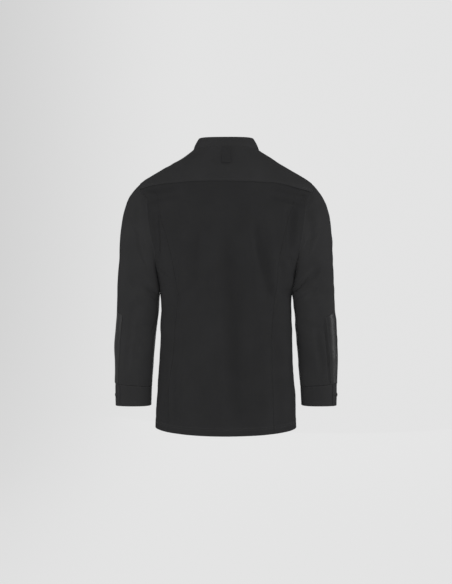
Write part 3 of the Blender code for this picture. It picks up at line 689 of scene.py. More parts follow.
def puckered(distance, along, seed, rise=0.00022, reach=0.007):
    """Small ripples that run out of a sewn edge."""
    draw = np.random.default_rng(seed)
    total = 0.0
    for wavelength in (0.0093, 0.0131, 0.0197):
        total = total + np.sin(along * 2 * pi / wavelength + draw.uniform(0, 6.28))
    return rise * total * np.exp(-distance / reach)


def placed(name, data):
    holder = bpy.data.objects.new(name, data)
    bpy.context.scene.collection.objects.link(holder)
    return holder


def new_mesh(name, points, faces):
    mesh = bpy.data.meshes.new(name)
    mesh.from_pydata(points, [], faces)
    return mesh


def turns(sides):
    return [2 * pi * side / sides for side in range(sides)]


def band_faces(bands, sides, rings):
    """Quads from each ring of points to the next, and from the last ring to the first."""
    return [(band * sides + side, band * sides + (side + 1) % sides,
             (band + 1) % rings * sides + (side + 1) % sides, (band + 1) % rings * sides + side)
            for band in bands for side in range(sides)]


def moved(faces, start):
    return [tuple(start + corner for corner in face) for face in faces]


def round_again(grid):
    """A grid with its first column once more after its last."""
    return np.concatenate([grid, grid[:, :1]], axis=1)


def shell_faces(number, count, wrapped):
    """Quads of two skins and the rim between them, from a grid of the outer skin's point numbers."""
    quads = np.stack([number[:-1, :-1], number[:-1, 1:], number[1:, 1:], number[1:, :-1]], axis=-1).reshape(-1, 4)
    faces = [quads, quads[:, ::-1] + count]
    for rim in (number[0, ::-1], number[-1], number[:, 0], number[::-1, -1])[:2 if wrapped else 4]:
        faces.append(np.stack([rim[1:], rim[1:] + count, rim[:-1] + count, rim[:-1]], axis=-1))
    return np.concatenate(faces)


def closed_shell(name, outer, inner, across, along, wrapped):
    """A mesh with two skins and a rim, from two grids of points. Its map holds metres of cloth."""
    number = np.arange(across.size).reshape(across.shape)
    place = np.stack([across, along], axis=-1)
    if wrapped:
        columns = across.shape[1]
        number = round_again(number)
        place = round_again(place)
        place[:, -1, 0] += place[:, -2, 0] * columns / (columns - 1)
    corner = np.arange(number.size).reshape(number.shape)
    mesh = new_mesh(name, np.concatenate([outer.reshape(-1, 3), inner.reshape(-1, 3)]).tolist(),
                    shell_faces(number, across.size, wrapped).tolist())
    corners = shell_faces(corner, corner.size, wrapped).reshape(-1) % corner.size
    places = place.reshape(-1, 2)[corners].astype(np.float32)
    mesh.uv_layers.new(name="weave").data.foreach_set("uv", places.reshape(-1))
    mesh.update()
    return mesh


def dress(name, mesh, material, slot, *nodes):
    """Adds a piece that rides on the jacket, stands for the named solids and takes the given finish. Its slot is not
    used.
    """
    piece = placed(name, mesh)
    mesh.materials.append(material)
    mesh.shade_smooth()
    mesh.set_sharp_from_angle(angle=radians(48))
    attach(piece, "root")
    if nodes:
        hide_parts(*nodes)
    return piece


def cloth(node, points, outward, form, detail, wall=WALL, material=TWILL, slot="twill", kind="cloth",
          wrapped=False):
    """A cloth piece: form moves both of its skins and detail only the outer one. Returns the outer skin."""
    form, detail = (np.broadcast_to(rise, points.shape[:2])[..., None] * outward for rise in (form, detail))
    outer, inner = points + form + detail, points + form - outward * wall
    across, along = walked(points, 1)[0], walked(points, 0)[0]
    columns = across.shape[1]
    name = f"{node}_{kind}"
    mesh = closed_shell(name, outer, inner, across - across[:, columns // 2, None], along, wrapped)
    piece = dress(name, mesh, material, slot, node)
    return outer


def line_at(skin, outward, distance, at, axis):
    """The line over a skin that keeps one distance from an edge, with its outward directions."""
    skin, outward, distance = (np.swapaxes(grid, 0, 1 - axis) for grid in (skin, outward, distance))
    lines = []
    for source in (skin, outward):
        picked = []
        for keys, values in zip(distance, source):
            order = np.argsort(keys)
            picked.append([np.interp(at, keys[order], column) for column in values[order].T])
        lines.append(np.array(picked))
    return lines[0], unit(lines[1])


STITCH_PITCH = 0.0030
STITCH_LENGTH = 0.0023
THREAD_RADIUS = 0.00024
THREAD_SIDES = 6
# share of half the length, then size and rise in radii of the thread
STITCH_RINGS = ((-1.0, 0.55, -0.8), (0.0, 1.0, 0.35), (1.0, 0.55, -0.8))


def sewn(name, lines, trim=0):
    """Rows of single stitches, each a short thread whose ends go down into the cloth."""
    template = np.array([(share * STITCH_LENGTH / 2, size * THREAD_RADIUS * cos(turn),
                          THREAD_RADIUS * (rise + size * sin(turn)))
                         for share, size, rise in STITCH_RINGS for turn in turns(THREAD_SIDES)])
    shape = [tuple(range(THREAD_SIDES))[::-1], tuple(range(2 * THREAD_SIDES, 3 * THREAD_SIDES))]
    shape += band_faces(range(2), THREAD_SIDES, 3)
    points, faces = [], []
    for pair in lines:
        line, outward = (values[trim:len(values) - trim] for values in pair)
        travelled = walked(line, 0)[0]
        middles = np.arange(STITCH_PITCH * 0.6, travelled[-1] - STITCH_PITCH * 0.4, STITCH_PITCH)
        back, ahead, up = (
            np.stack([np.interp(middles + shift, travelled, column) for column in values.T], axis=-1)
            for values, shift in ((line, -STITCH_LENGTH / 2), (line, STITCH_LENGTH / 2), (outward, 0.0)))
        forward = unit(ahead - back)
        aside = unit(np.cross(unit(up), forward))
        axes = np.stack([forward, aside, np.cross(forward, aside)], axis=1)
        for middle, turned_axes in zip((back + ahead) / 2, axes):
            faces += moved(shape, len(points) * len(template))
            points.append(middle + template @ turned_axes)
    dress(name, new_mesh(name, np.concatenate(points).tolist(), faces), THREAD, "twill")


# ---------------------------------------------------------------- back

HEM_LINES = (0.0155, 0.0205)
HEM_RISE = 0.0005
YOKE_LINE = 0.0065
YOKE_FLARE = 0.0010
YOKE_LOOSE_END = 0.0012
YOKE_SAG_ROWS = 0.15
YOKE_SAG_START = 0.125
YOKE_SAG_REACH = 0.075
YOKE_FRONT_RADIUS = 0.12
YOKE_FLARE_REACH = 0.030
BACK_SINK = 0.0076
BACK_SINK_ROWS = (0.48, 1.7)
BACK_SINK_END = radians(12.0)
BACK_RETURN_ROWS = 0.05
YOKE_FLARE_END = radians(10.0)
ARM_SIDE_TURNS = 61
ARMHOLE_RETURN = 0.016


def panel_levels():
    """Rows of a panel at its side and away from it, and the armhole turns, from the hem up under the yoke."""
    low = ARMPIT_LEVEL * spread(HEM_TO_ARMPIT, start=HEM_LINES)
    turn = np.linspace(pi, YOKE_TURN, ARM_SIDE_TURNS)[1:]
    top = np.linspace(0.0, YOKE_UNDERLAP_ROWS, 4)[1:]
    edge = np.concatenate([low, armhole(turn, ARMHOLE_GROWTH)[1], YOKE_END_ROW + top])
    inner = np.concatenate([low, np.linspace(ARMPIT_LEVEL, YOKE_END_ROW, ARM_SIDE_TURNS)[1:], YOKE_END_ROW + top])
    turns = np.concatenate([np.full(len(low), pi), turn, np.full(len(top), YOKE_TURN)])
    return edge, inner, turns


def armhole_edge(edge, turns, reach):
    """How far the armhole's edge, or the side seam's, is from the middle of the side."""
    return np.maximum(reach * (1 + ARMHOLE_GROWTH) * np.sin(turns), seam_inset(ARMHOLE_MIDDLE_ANGLE, edge))


def hem_detail(foot):
    """The turned-up hem: a little thicker, and pulled in by its two rows of stitches."""
    rise = HEM_RISE * fade((foot - HEM_LINES[1] - 0.001) / 0.003)
    return rise + rolled(foot, HEM_ROLL) + sum(sunk(foot, line) for line in HEM_LINES)


def under_yoke(angle, level, from_armhole):
    """The soft hollow that the back has below the yoke's free edge; it comes back up beside the sleeve."""
    below = YOKE_END_ROW + yoke_rise(angle) - level
    ends = soft_step((YOKE_END_ANGLE - np.abs(angle)) / BACK_SINK_END)
    deepest, last = BACK_SINK_ROWS
    hollow = soft_step(below / deepest) * fade((below - deepest) / (last - deepest))
    beside = fade(from_armhole / ARMHOLE_RETURN) * soft_step(below / BACK_RETURN_ROWS)
    hollow = hollow * soft_step(from_armhole / (2 * ARMHOLE_RETURN))
    return -BACK_SINK * ends * hollow - beside * yoke_recess(angle, level)


def panel_detail(skin, seed):
    """Seams at the sides of a panel and the hem at its foot."""
    foot, _, *sides = distances(skin)
    total = hem_detail(foot) + puckered(foot, sides[0], seed, 0.00018, 0.012)
    for number, distance in enumerate(sides, start=1):
        total = total + 0.5 * rolled(distance) + puckered(distance, foot, seed + number, 0.00012)
    return total


def make_back():
    edge, inner, turns_up = panel_levels()
    hems = []

    def add_panel(name, angle, level, seed, from_armhole=None):
        skin, outward = body(angle, level, yoke_recess(angle, level))
        sides = walked(skin, 1)
        distance = ARMHOLE_RETURN * 3 if from_armhole is None else sides[from_armhole]
        form = under_yoke(angle, level, distance) + tucked(*sides)
        outer = cloth(f"back_{name}", skin, outward, form, panel_detail(skin, seed), material=KNIT, slot="knit")
        hems.append((outer, outward))

    right, left = -princess_angle(-1, inner), princess_angle(1, inner)
    right, left = right + seam_inset(right, inner), left - seam_inset(left, inner)
    angle = blend(right[:, None], left[:, None], spread(BACK_WIDTH))
    add_panel("centre", angle, arched_row(angle, inner[:, None]), 20)
    for name, hand in SIDES:
        seam = princess_angle(hand, inner)
        seam = seam + seam_inset(seam, inner)
        side = ARMHOLE_MIDDLE_ANGLE - armhole_edge(edge, turns_up, ARMHOLE_BACK_REACH)
        part = spread(SIDE_BACK_WIDTH)[None, ::hand]
        angle = blend(seam[:, None], side[:, None], part)
        level = arched_row(angle, blend(inner[:, None], edge[:, None], part), 1 - part * part)
        add_panel(f"side_{name}", hand * angle, level, 30 + hand, 1 if hand > 0 else 0)
    return hems


def yoke_edge_row(angle):
    """Row of the yoke's outer edge: along the back's arch, then along the armhole's top."""
    angle = np.abs(angle)
    reach = np.where(angle < ARMHOLE_MIDDLE_ANGLE, ARMHOLE_BACK_REACH, ARMHOLE_FRONT_REACH)
    across = np.minimum(np.abs(angle - ARMHOLE_MIDDLE_ANGLE) / reach, 1.0)
    round_it = ARMHOLE_MIDDLE_ROW + ARMHOLE_HALF_ROWS * (1 + ARMHOLE_GROWTH) * np.sqrt(1 - across * across)
    return np.where(angle <= YOKE_END_ANGLE, YOKE_END_ROW + yoke_rise(angle), round_it)


def make_yoke():
    shoulder = armhole(np.linspace(YOKE_TURN, -YOKE_TURN, 41)[1:])[0]
    ends = YOKE_FRONT_ANGLE - np.array(EDGE_STEPS[:6]) / YOKE_FRONT_RADIUS
    half = np.sort(np.concatenate([np.linspace(0.0, YOKE_END_ANGLE, 71), shoulder, ends]))
    half = half[np.concatenate([[True], np.diff(half) > 0.0015])]
    half[-1] = YOKE_FRONT_ANGLE
    angles = np.concatenate([-half[:0:-1], half])
    inset = seam_inset(YOKE_FRONT_ANGLE, np.array(float(SHOULDER_ROW)))
    part = spread(YOKE_HEIGHT, 0.0040, start=(YOKE_LINE,))[:, None]
    edge = yoke_edge_row(angles)
    free = np.abs(angles) <= YOKE_END_ANGLE
    sag = soft_step((-plain_body(angles, edge)[..., 0] - YOKE_SAG_START) / YOKE_SAG_REACH) * free
    skin, outward = body(np.concatenate([angles[:1] + inset, angles[1:-1], angles[-1:] - inset])[None, :] + 0 * part,
                         blend(edge - YOKE_SAG_ROWS * sag, NECK_TOP_ROW, part))
    foot, top, from_right, from_left = distances(skin)
    on_back = soft_step((YOKE_END_ANGLE - np.abs(angles)) / YOKE_FLARE_END)
    flare = (YOKE_FLARE * on_back + YOKE_LOOSE_END * sag) * fade(foot / YOKE_FLARE_REACH)
    detail = rolled(foot, SOFT_ROLL) + rolled(top) + np.where(free, sunk(foot, YOKE_LINE), 0.0)
    detail = detail + puckered(foot, from_right, 50) + puckered(top, from_right, 51)
    detail = detail + rolled(from_right) + rolled(from_left)
    lap_seam(skin, -1, -2)
    form = flare + tucked(top, from_right, from_left) + np.where(free, 0.0, tucked(foot))
    outer = cloth("back_yoke", skin, outward, form, detail)
    line, up = line_at(outer, outward, foot, YOKE_LINE, 0)
    sewn("yoke_stitching", [(line[free], up[free])])


# ---------------------------------------------------------------- fronts

LAP_LINE = 0.0065
FACING_LINE = 0.034
SIDE_TO_LAP = 0.20
LAP_WIDTH = 0.155


def front_levels():
    edge, inner, turns_up = panel_levels()
    keep = edge <= YOKE_END_ROW + 1e-9
    top = blend(YOKE_END_ROW, NECK_TOP_ROW, spread(YOKE_HEIGHT)[1:])
    turns_up = np.concatenate([turns_up[keep], np.full(len(top), YOKE_TURN)])
    return np.concatenate([edge[keep], top]), np.concatenate([inner[keep], top]), turns_up


def make_fronts():
    edge, inner, turns_up = front_levels()
    side = ARMHOLE_MIDDLE_ANGLE + armhole_edge(edge, turns_up, ARMHOLE_FRONT_REACH)
    above = edge > YOKE_END_ROW - SMALL
    side[above] = YOKE_FRONT_ANGLE + seam_inset(YOKE_FRONT_ANGLE, edge[above])
    lap = (front_edge_angle(inner) - pi)[:, None]
    wide = spread(SIDE_TO_LAP)
    wide = wide[(wide < 1 - EDGE_STEPS[2] / SIDE_TO_LAP) | (wide == 1)][None, :]
    over = spread(LAP_WIDTH, end=(LAP_LINE, FACING_LINE))[None, 1:]
    angle = np.concatenate([blend(side[:, None], pi - lap, wide), blend(pi - lap, pi + lap, over)], axis=1)
    level = np.concatenate([blend(edge[:, None], inner[:, None], wide), inner[:, None] + 0 * over], axis=1)
    below_armpit = edge < ARMPIT_LEVEL
    hems, lines = [], []
    for name, hand in SIDES:
        drop = 0.0
        if hand < 0:
            drop = -LAYER_DROP * fade((past_front_edge(-angle, level) - SMALL) / OVERLAP_FADE)
        skin, outward = body(hand * angle, level, drop)
        foot, top, from_side, from_lap = distances(skin)
        detail = hem_detail(foot) + rolled(top) + rolled(from_side) + rolled(from_lap, SOFT_ROLL)
        detail = detail + puckered(from_side, foot, 60 + hand) + puckered(from_lap, foot, 70 + hand, 0.00020)
        detail = detail + puckered(top, from_side, 80 + hand) + sunk(from_lap, LAP_LINE)
        lap_seam(skin, -1, -2)
        lap_seam(skin, (below_armpit, 0), (below_armpit, 1))
        outer = cloth(f"front_{name}", skin, outward, tucked(from_side, top), detail)
        hems.append((outer, outward))
        lines.append(line_at(outer, outward, from_lap, LAP_LINE, 1))
    sewn("front_stitching", lines)
    return hems


def sew_hem(panels):
    sewn("hem_stitching", [line_at(skin, outward, walked(skin, 0)[0], at, 0)
                           for skin, outward in panels for at in HEM_LINES], 1)


# ---------------------------------------------------------------- collar

COLLAR_LINE = 0.0075
COLLAR_FOOT_LINE = 0.0030
COLLAR_GIRTH = 0.50
COLLAR_HEIGHT = 0.029


def collar_point(angle, part):
    angle, part = together(angle, part)
    base = plain_body(angle, np.full_like(angle, NECK_ROW))
    side, back = oval(angle, COLLAR_TOP_SQUARENESS)
    depth = np.where(back > 0, *COLLAR_TOP_DEPTHS)
    height = height_round(angle, back, *COLLAR_TOP_HEIGHTS)
    top = np.stack([COLLAR_TOP_HALF_WIDTH * side, depth * back, height], axis=-1)
    away = unit(np.stack([side, back, 0 * side], axis=-1))
    return blend(base, top, part[..., None]) + away * (COLLAR_BELLY * 4 * part * (1 - part))[..., None]


def make_collar():
    share = spread(COLLAR_GIRTH, 0.0032, start=(COLLAR_LINE,), end=(COLLAR_LINE,))[None, :]
    angles = (2 * share - 1) * COLLAR_END_ANGLE
    part = spread(COLLAR_HEIGHT, 0.0024, start=(COLLAR_FOOT_LINE,), end=(COLLAR_LINE,))[:, None]
    from_end = (COLLAR_END_ANGLE - np.abs(angles)) / COLLAR_CORNER_ANGLE
    corner = COLLAR_CORNER_SHARE * np.maximum(1 - from_end, 0.0) ** 2
    part = blend(0.5 * SEAM_GAP / COLLAR_HEIGHT, 1.0 - corner, part)
    angles = angles + 0 * part
    skin = collar_point(angles, part)
    outward = facing(collar_point, angles, part, part - SMALL, part + SMALL)
    foot, top, *ends = distances(skin)
    form = wobble(skin, 5, 0.0012) * soft_step(foot / 0.008) + tucked(foot)
    lap_seam(skin, 0, 1)
    detail = rolled(foot) + sunk(top, COLLAR_LINE) + puckered(foot, ends[0], 90, 0.00016)
    detail = detail + sum(rolled(distance, FIRM_ROLL) for distance in (top, *ends))
    outer = cloth("collar", skin, outward, form, detail, FIRM_WALL)
    sewn("collar_stitching", [line_at(outer, outward, top, COLLAR_LINE, 0)], 4)


# ---------------------------------------------------------------- sleeves and cuffs

CUFF_LIFT = FIRM_WALL + 0.0002
CUFF_FOOT_LINE = 0.0100
CUFF_TOP_LINE = 0.0030
CUFF_END_LINE = 0.0060
CUFF_END_ROLL = 0.0018
PLACKET_LINE = 0.0022
PLACKET_HEAD_LINE = 0.016
UNDERARM_SINK = 0.0008
UNDERARM_SINK_WIDTH = 0.0012
SLEEVE_COLUMNS = 184
SLEEVE_LENGTH = 0.56
PLACKET_WIDTH = 0.026
PLACKET_LENGTH = 0.135
CUFF_GIRTH = 0.31


def sleeve_drape(hand, turn, row, points):
    across, along = np.arctan2(np.sin(turn), np.cos(turn)) * SLEEVE_MEAN_RADIUS, row * SLEEVE_ROW_LENGTH
    total = wobble(points, 40 + hand, 0.0060) * soft_step(row / 0.8) * soft_step((SLEEVE_LAST_ROW - row) / 0.6)
    for *ends, half_width, rise in SLEEVE_FOLDS[hand]:
        start, end = ((radians(angle) * SLEEVE_MEAN_RADIUS, level * SLEEVE_ROW_LENGTH)
                      for angle, level in (ends[:2], ends[2:]))
        total = total + fold_rise(across, along, start, end, 0.0, half_width / 1000, rise / 1000)
    return total


def seam_drop(out):
    """How far the seam at the cuff's head hangs below its level, from the inner side of the sleeve to the outer."""
    return blend(*CUFF_SEAM_DROP, (1 + out) / 2)


def plain_sleeve(hand, turn, row):
    turn, row = together(turn, row)
    outer_x, outer_z, inner_x, inner_z, half_depth, middle_y = between_sections(SLEEVE_SECTIONS, row)
    back, out = oval(turn, SLEEVE_SQUARENESS)
    drop = seam_drop(out) * soft_step(1 + (row - SLEEVE_LAST_ROW) / CUFF_SEAM_DROP_ROWS)
    ring = np.stack([hand * blend(inner_x, outer_x, (1 + out) / 2), middle_y + half_depth * back,
                     blend(inner_z, outer_z, (1 + out) / 2) - drop], axis=-1)
    angle, level = armhole(turn, -ARMHOLE_GROWTH)
    return blend(body(hand * angle, level)[0], ring, soft_step(row / SLEEVE_BLEND_ROWS)[..., None])


def sleeve(hand, turn, row, out=0.0):
    beside = np.clip(row, SLEEVE_HEAD_ROW, SLEEVE_LAST_ROW - SLEEVE_HEAD_ROW)
    normal = hand * facing(lambda *place: plain_sleeve(hand, *place), turn, row,
                           beside - SLEEVE_HEAD_ROW, beside + SLEEVE_HEAD_ROW)
    points = plain_sleeve(hand, turn, row)
    return points + normal * (sleeve_drape(hand, turn, row, points) + out)[..., None], normal


def make_sleeve(name, hand):
    turn = np.array(turns(SLEEVE_COLUMNS))[None, :] * hand
    row = (SLEEVE_LAST_ROW * spread(SLEEVE_LENGTH, 0.0040))[:, None]
    skin, outward = sleeve(hand, turn + 0 * row, row + 0 * turn)
    head, foot, girth, _ = distances(skin)
    underarm = np.abs(np.abs(np.arctan2(np.sin(turn), np.cos(turn))) - pi) * SLEEVE_MEAN_RADIUS + 0 * head
    detail = rolled(head) + rolled(foot) + sunk(underarm, 0.0, UNDERARM_SINK, UNDERARM_SINK_WIDTH)
    detail = detail + puckered(head, girth, 100 + hand, 0.00012, 0.010)
    detail = detail + puckered(foot, girth, 110 + hand, 0.0002, 0.014) + puckered(underarm, head, 120 + hand)
    angle, level = armhole(turn[0], -ARMHOLE_GROWTH)
    skin[0] -= SEAM_ALLOWANCE * body_normal(hand * angle, level)
    cloth(f"sleeve_{name}", skin, outward, tucked(foot), detail, wrapped=True)


def make_placket(name, hand):
    part = spread(PLACKET_WIDTH, 0.0030, start=(PLACKET_LINE,), end=(PLACKET_LINE,))[None, :]
    if hand < 0:
        part = 1 - part
    row = spread(PLACKET_LENGTH, 0.0034, start=(PLACKET_LINE, PLACKET_HEAD_LINE))[:, None]
    turn = blend(*PLACKET_ANGLES, part) + PLACKET_SHIFTS[hand] + PLACKET_LEAN * (1 - row)
    skin, outward = sleeve(hand, turn, blend(*PLACKET_ROWS, row) + 0 * part, STRIP_GAP + STRIP_WALL)
    head, foot, *sides = distances(skin)
    detail = sum(rolled(distance, HEM_ROLL) for distance in (head, foot, *sides))
    detail = detail + sum(sunk(distance, PLACKET_LINE, 0.0002) for distance in sides)
    outer = cloth(f"sleeve_placket_{name}", skin, outward, 0.0, detail, STRIP_WALL, PRESSED)
    lines = [line_at(outer, outward, distance, PLACKET_LINE, 1) for distance in sides]
    lines += [line_at(outer, outward, head, at, 0) for at in (PLACKET_LINE, PLACKET_HEAD_LINE)]
    sewn(f"placket_stitching_{name}", lines, 3)


def cuff_surface(hand, turn, part, out=0.0):
    half_width, middle_x = blend(*CUFF_HALF_WIDTHS, part), blend(*CUFF_MIDDLES_X, part)
    back, outer = oval(turn, CUFF_SQUARENESS)
    point = np.stack([hand * (middle_x + half_width * outer), CUFF_MIDDLE_Y + CUFF_HALF_DEPTH * back,
                      CUFF_TOP - CUFF_HEIGHT * part - seam_drop(outer) * (1 - part)], axis=-1)
    normal = unit(np.stack([hand * CUFF_HALF_DEPTH * outer, half_width * back, 0 * turn * part], axis=-1))
    return point + normal * np.asarray(out)[..., None], normal


def make_cuff(name, hand):
    share = spread(CUFF_GIRTH, 0.0034, start=(CUFF_END_LINE,))[None, ::-hand]
    part = spread(CUFF_HEIGHT, 0.0030, start=(CUFF_TOP_LINE,), end=(CUFF_FOOT_LINE,))[:, None]
    travelled = (2 * pi + CUFF_LAP_ANGLE) * share + 0 * part
    lift = CUFF_LIFT * fade((travelled - CUFF_LAP_ANGLE) / CUFF_FADE_ANGLE)
    skin, outward = cuff_surface(hand, CUFF_END_ANGLE - travelled, part + 0 * share, lift)
    head, foot, one, other = distances(skin)
    end = other if hand > 0 else one
    form = wobble(skin, 140 + hand, 0.0016) * soft_step(head / 0.01) + tucked(head)
    detail = rolled(head) + rolled(foot, FIRM_ROLL) + rolled(one, CUFF_END_ROLL) + rolled(other, CUFF_END_ROLL)
    detail = detail + puckered(head, one, 150 + hand, 0.0002) + puckered(foot, one, 160 + hand, 0.00012)
    seams = ((head, CUFF_TOP_LINE, 0), (foot, CUFF_FOOT_LINE, 0), (end, CUFF_END_LINE, 1))
    detail = detail + sum(sunk(distance, at) for distance, at, _ in seams)
    outer = cloth(f"cuff_{name}", skin, outward, form, detail, FIRM_WALL)
    sewn(f"cuff_stitching_{name}", [line_at(outer, outward, *seam) for seam in seams], 3)


# ---------------------------------------------------------------- hanger loop

LOOP_LINE = 0.0016
LOOP_SWELL = 0.00012


def make_hanger_loop():
    """A folded tape that stands off the yoke at its foot. Its face is left bare."""
    leaf = 2 * LOOP_WALL + LOOP_LEAF_GAP
    down = np.linspace(0.0, 1.0, 25)
    bend = np.linspace(0.0, pi, 13)[1:-1]
    middle = LOOP_SEAT + leaf / 2 + LOOP_FOOT_RISE
    part = np.concatenate([down, 1 + leaf / 2 * np.sin(bend) / LOOP_LENGTH, down[::-1]])
    height = np.concatenate([LOOP_SEAT + leaf + LOOP_FOOT_RISE * down ** 2, middle + leaf / 2 * np.cos(bend),
                             LOOP_SEAT + LOOP_FOOT_RISE * down[::-1] ** 2])
    row = (NECK_ROW - (LOOP_TOP_DROP + LOOP_LENGTH * part) / YOKE_ROW_LENGTH)[:, None]
    width = between_sections(BODY_SECTIONS, row, SHOULDER_ROW)[3]
    across = (2 * spread(LOOP_WIDTH, 0.0016) - 1)[None, :]
    skin = body(LOOP_WIDTH / 2 / width * across, row + 0 * across, height[:, None] + 0 * across)[0]
    ahead = np.concatenate([skin[1:], skin[-1:]]) - np.concatenate([skin[:1], skin[:-1]])
    outward = unit(np.cross(np.array([1.0, 0.0, 0.0]), ahead))
    detail = sum(rolled(side, 0.0004) + sunk(side, LOOP_LINE, -LOOP_SWELL) for side in walked(skin, 1))
    cloth("hanger_loop", skin, outward, 0.0, detail, LOOP_WALL, TAPE, kind="tape")


# ---------------------------------------------------------------- buttons

# share of the radius, height in millimetres
BUTTON_PROFILE = ((0.62, 1.9), (0.66, 2.05), (0.70, 2.55), (0.75, 2.95), (0.82, 3.15), (0.89, 3.05), (0.95, 2.6),
                  (0.99, 2.0), (0.98, 1.5), (0.92, 0.9), (0.80, 0.45), (0.62, 0.25))
BUTTON_SIDES = 40
BUTTON_TILT = 0.02
BUTTON_SEAT = 0.0002
BUTTON_THREAD_RADIUS = 0.0002
STRAND_SHIFT = 0.00016


def front_spot(x, height):
    """Angle and row of the place on the front at a distance to the wearer's left and a height."""
    row, limit = np.array(ARMHOLE_MIDDLE_ROW), radians(60)
    for _ in range(12):
        angle = solve(lambda turn: x - plain_body(turn, row)[..., 0], np.array(pi - limit), np.array(pi + limit))
        row = solve(lambda level: plain_body(angle, level)[..., 2] - height, np.array(0.0), np.array(float(NECK_ROW)))
    return angle, row


def lathed(profile, sides):
    """Rings of points from radii and heights."""
    return [(radius * cos(turn), radius * sin(turn), height) for radius, height in profile for turn in turns(sides)]


def button_mesh(name, radius, height_scale):
    """A rimmed button: a flat middle with four holes inside a rounded rim."""
    disc = bpy.data.curves.new(name + "_middle", "CURVE")
    disc.dimensions = "2D"
    disc.fill_mode = "BOTH"
    disc.extrude = 0.00062 * height_scale
    disc.bevel_depth = 0.00012
    disc.bevel_resolution = 1
    hole_place, hole_radius = 0.245 * radius, 0.105 * radius
    circles = [(0.0, 0.0, 0.66 * radius, BUTTON_SIDES)]
    circles += [(x * hole_place, y * hole_place, hole_radius, 16) for x in (-1, 1) for y in (-1, 1)]
    for x, y, size, count in circles:
        spline = disc.splines.new("POLY")
        spline.points.add(count - 1)
        for point, turn in zip(spline.points, turns(count)):
            point.co = (x + size * cos(turn), y + size * sin(turn), 0.0, 1.0)
        spline.use_cyclic_u = True
    holder = placed(name + "_middle", disc)
    bpy.context.view_layer.update()
    middle = bpy.data.meshes.new_from_object(holder.evaluated_get(bpy.context.evaluated_depsgraph_get()))
    bpy.data.objects.remove(holder)
    points = [tuple(vertex.co + Vector((0, 0, 0.0012 * height_scale))) for vertex in middle.vertices]
    rings = len(BUTTON_PROFILE)
    faces = [tuple(face.vertices) for face in middle.polygons]
    faces += moved(band_faces(range(rings), BUTTON_SIDES, rings), len(points))
    points += lathed([(share * radius, 0.001 * height * height_scale) for share, height in BUTTON_PROFILE],
                     BUTTON_SIDES)
    return new_mesh(name, points, faces), hole_place


def thread_mesh(name, reach, height):
    """Thread through the four holes, in two strands beside each other."""
    share = np.linspace(-1, 1, 9)
    shape = [(face[0], *face[:0:-1]) for face in band_faces(range(len(share) - 1), THREAD_SIDES, len(share))]
    aside = np.array([1.0, 0.0, 0.0])
    points, faces = [], []
    for x in (-reach - STRAND_SHIFT, -reach + STRAND_SHIFT, reach - STRAND_SHIFT, reach + STRAND_SHIFT):
        line = np.stack([0 * share + x, share * reach, height * (1 - share ** 6) + 0.0003], axis=-1)
        faces += moved(shape, len(points))
        for middle, forward in zip(line, unit(np.gradient(line, axis=0))):
            up = np.cross(forward, aside)
            points += [tuple(middle + BUTTON_THREAD_RADIUS * (cos(turn) * aside + sin(turn) * up))
                       for turn in turns(THREAD_SIDES)]
    return new_mesh(name, points, faces)


def set_button(node, meshes, spot, draw):
    """Puts a button and its thread on the cloth, turned a little at random as a hand sews it."""
    turn = draw.uniform(-0.5, 0.5)
    point, normal = map(Vector, spot)
    facing = (normal + Vector(draw.normal(size=3) * BUTTON_TILT)).normalized()
    place = Matrix.Translation(point + normal * BUTTON_SEAT) @ facing.to_track_quat("Z", "Y").to_matrix().to_4x4()
    place = place @ Matrix.Rotation(turn, 4, "Z")
    button, thread = (source.copy() for source in meshes)
    button.transform(place)
    thread.transform(place)
    dress(f"{node}_detailed", button, BUTTON, "button_plastic", node)
    dress(f"{node}_detailed_thread", thread, THREAD, "twill")


def make_buttons():
    draw = np.random.default_rng(8)
    kinds = []
    for kind, radius, height_scale, rise in (("front", BUTTON_RADIUS, 1.0, 0.0020),
                                             ("cuff", CUFF_BUTTON_RADIUS, 0.55, 0.0011)):
        mesh, hole_place = button_mesh(f"{kind}_button", radius, height_scale)
        kinds.append((mesh, thread_mesh(f"{kind}_thread", hole_place, rise)))
    for name, hand in SIDES:
        for number, (height, offset) in enumerate(zip(BUTTON_HEIGHTS, BUTTON_OFFSETS), start=1):
            set_button(f"button_{name}_{number}", kinds[0], body(*front_spot(hand * offset, height)), draw)
    for name, hand in SIDES:
        spot = cuff_surface(hand, np.array(CUFF_BUTTON_ANGLE), np.array(0.5), np.array(CUFF_LIFT))
        set_button(f"cuff_button_{name}", kinds[1], spot, draw)


# ---------------------------------------------------------------- studio

FLOOR_LEVEL = -1.55
FLOOR_RADIUS = 3.6
FLOOR_CURVE = 2.4
FLOOR_SIDES = 96
WALL_LEVELS = (4.0, 7.0)
# name, place, width, height, power, what it faces
LIGHTS = (
    ("back_soft", (0.0, 4.4, -0.5), 3.0, 2.4, 132.0, (0.0, 0.0, -0.38)),
    ("side_soft_left", (3.3, 1.2, 0.0), 1.4, 2.4, 28.0, (0.0, 0.0, -0.38)),
    ("side_soft_right", (-3.3, 0.4, -0.2), 1.2, 2.4, 38.0, (0.0, 0.0, -0.38)),
    ("front_high", (0.0, -2.6, 2.2), 2.2, 0.5, 4.0, (0.0, -0.1, -0.25)),
    ("front_soft", (-0.6, -4.4, -0.5), 2.8, 2.2, 92.0, (0.0, 0.0, -0.38)),
)
AIR_STRENGTH = 0.17
CAMERA_PLACE = (0.0005, 2.6, -0.3836)
SENSOR_WIDTH = 36.0
# focal length as a share of the sensor
FOCAL_SHARE = 963.0 / 584.0


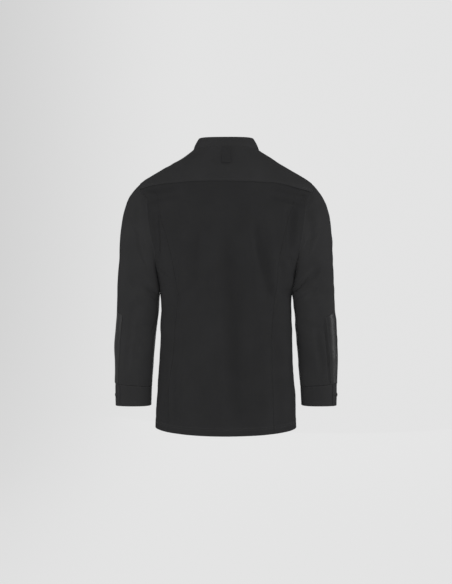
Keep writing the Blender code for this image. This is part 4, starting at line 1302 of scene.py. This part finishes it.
def make_studio():
    """A pale floor that curves up into a wall all round, far enough out to stand behind every view. Its brightness is
    painted light: it glows instead of being lit, dimmer towards +X.
    """
    profile = [(0.0, 0.0), (2.0, 0.0), (FLOOR_RADIUS, 0.0)]
    profile += [(FLOOR_RADIUS + FLOOR_CURVE * sin(turn), FLOOR_CURVE - FLOOR_CURVE * cos(turn))
                for turn in np.linspace(0.0, pi / 2, 15)[1:]]
    profile += [(FLOOR_RADIUS + FLOOR_CURVE, level) for level in WALL_LEVELS]
    faces = band_faces(range(1, len(profile) - 1), FLOOR_SIDES, len(profile))
    faces.append(tuple(reversed(range(FLOOR_SIDES, 2 * FLOOR_SIDES))))
    mesh = new_mesh("studio_sweep", lathed(profile, FLOOR_SIDES), faces)
    mesh.shade_smooth()
    material, tree, shader, place = new_finish("studio paper with painted glow")
    fill(shader, Base_Color=(0.01, 0.01, 0.01, 1.0), Roughness=1.0, Specular_IOR_Level=0.0, Emission_Strength=1.0)
    split = new_node(tree, "SeparateXYZ")
    # painted light: the glow falls off from x 0.2 to 3.2, dimmer towards the wearer's left
    across = new_node(tree, "MapRange", From_Min=0.2, From_Max=3.2)
    across.interpolation_type = "SMOOTHSTEP"
    glow = colour_between(tree, across.outputs["Result"], (0.77, 0.77), (0.57, 0.57))
    wire(tree, (place, split.inputs[0]), (split.outputs[0], across.inputs["Value"]),
         (glow, shader.inputs["Emission Color"]))
    mesh.materials.append(material)
    sweep = placed("studio_sweep", mesh)
    sweep.location.z = FLOOR_LEVEL
    sweep.visible_shadow = sweep.visible_diffuse = sweep.visible_glossy = False


def make_lights():
    for name, place, width, height, power, target in LIGHTS:
        light = bpy.data.lights.new(name, "AREA")
        light.shape = "RECTANGLE"
        light.size, light.size_y = width, height
        light.energy = power
        lamp = placed(name, light)
        lamp.location = place
        lamp.rotation_mode = "QUATERNION"
        lamp.rotation_quaternion = (Vector(target) - Vector(place)).to_track_quat("-Z", "Y")
        lamp.visible_camera = False
    world = bpy.data.worlds.new("studio_air")
    world.use_nodes = True
    fill(world.node_tree.nodes["Background"], Color=(1.0, 1.0, 1.0, 1.0), Strength=AIR_STRENGTH)
    bpy.context.scene.world = world
    bpy.context.scene.view_settings.view_transform = "Standard"


def make_camera():
    camera = bpy.data.cameras.new("camera")
    camera.sensor_width = SENSOR_WIDTH
    camera.lens = SENSOR_WIDTH * FOCAL_SHARE
    holder = placed("camera", camera)
    holder.location = CAMERA_PLACE
    holder.rotation_euler = (radians(90), 0.0, radians(180))
    bpy.context.scene.camera = holder


make_camera()
make_studio()
make_lights()
hem_panels = make_back()
make_yoke()
hem_panels += make_fronts()
sew_hem(hem_panels)
make_collar()
for side_name, side_hand in SIDES:
    make_sleeve(side_name, side_hand)
    make_placket(side_name, side_hand)
    make_cuff(side_name, side_hand)
make_hanger_loop()
make_buttons()
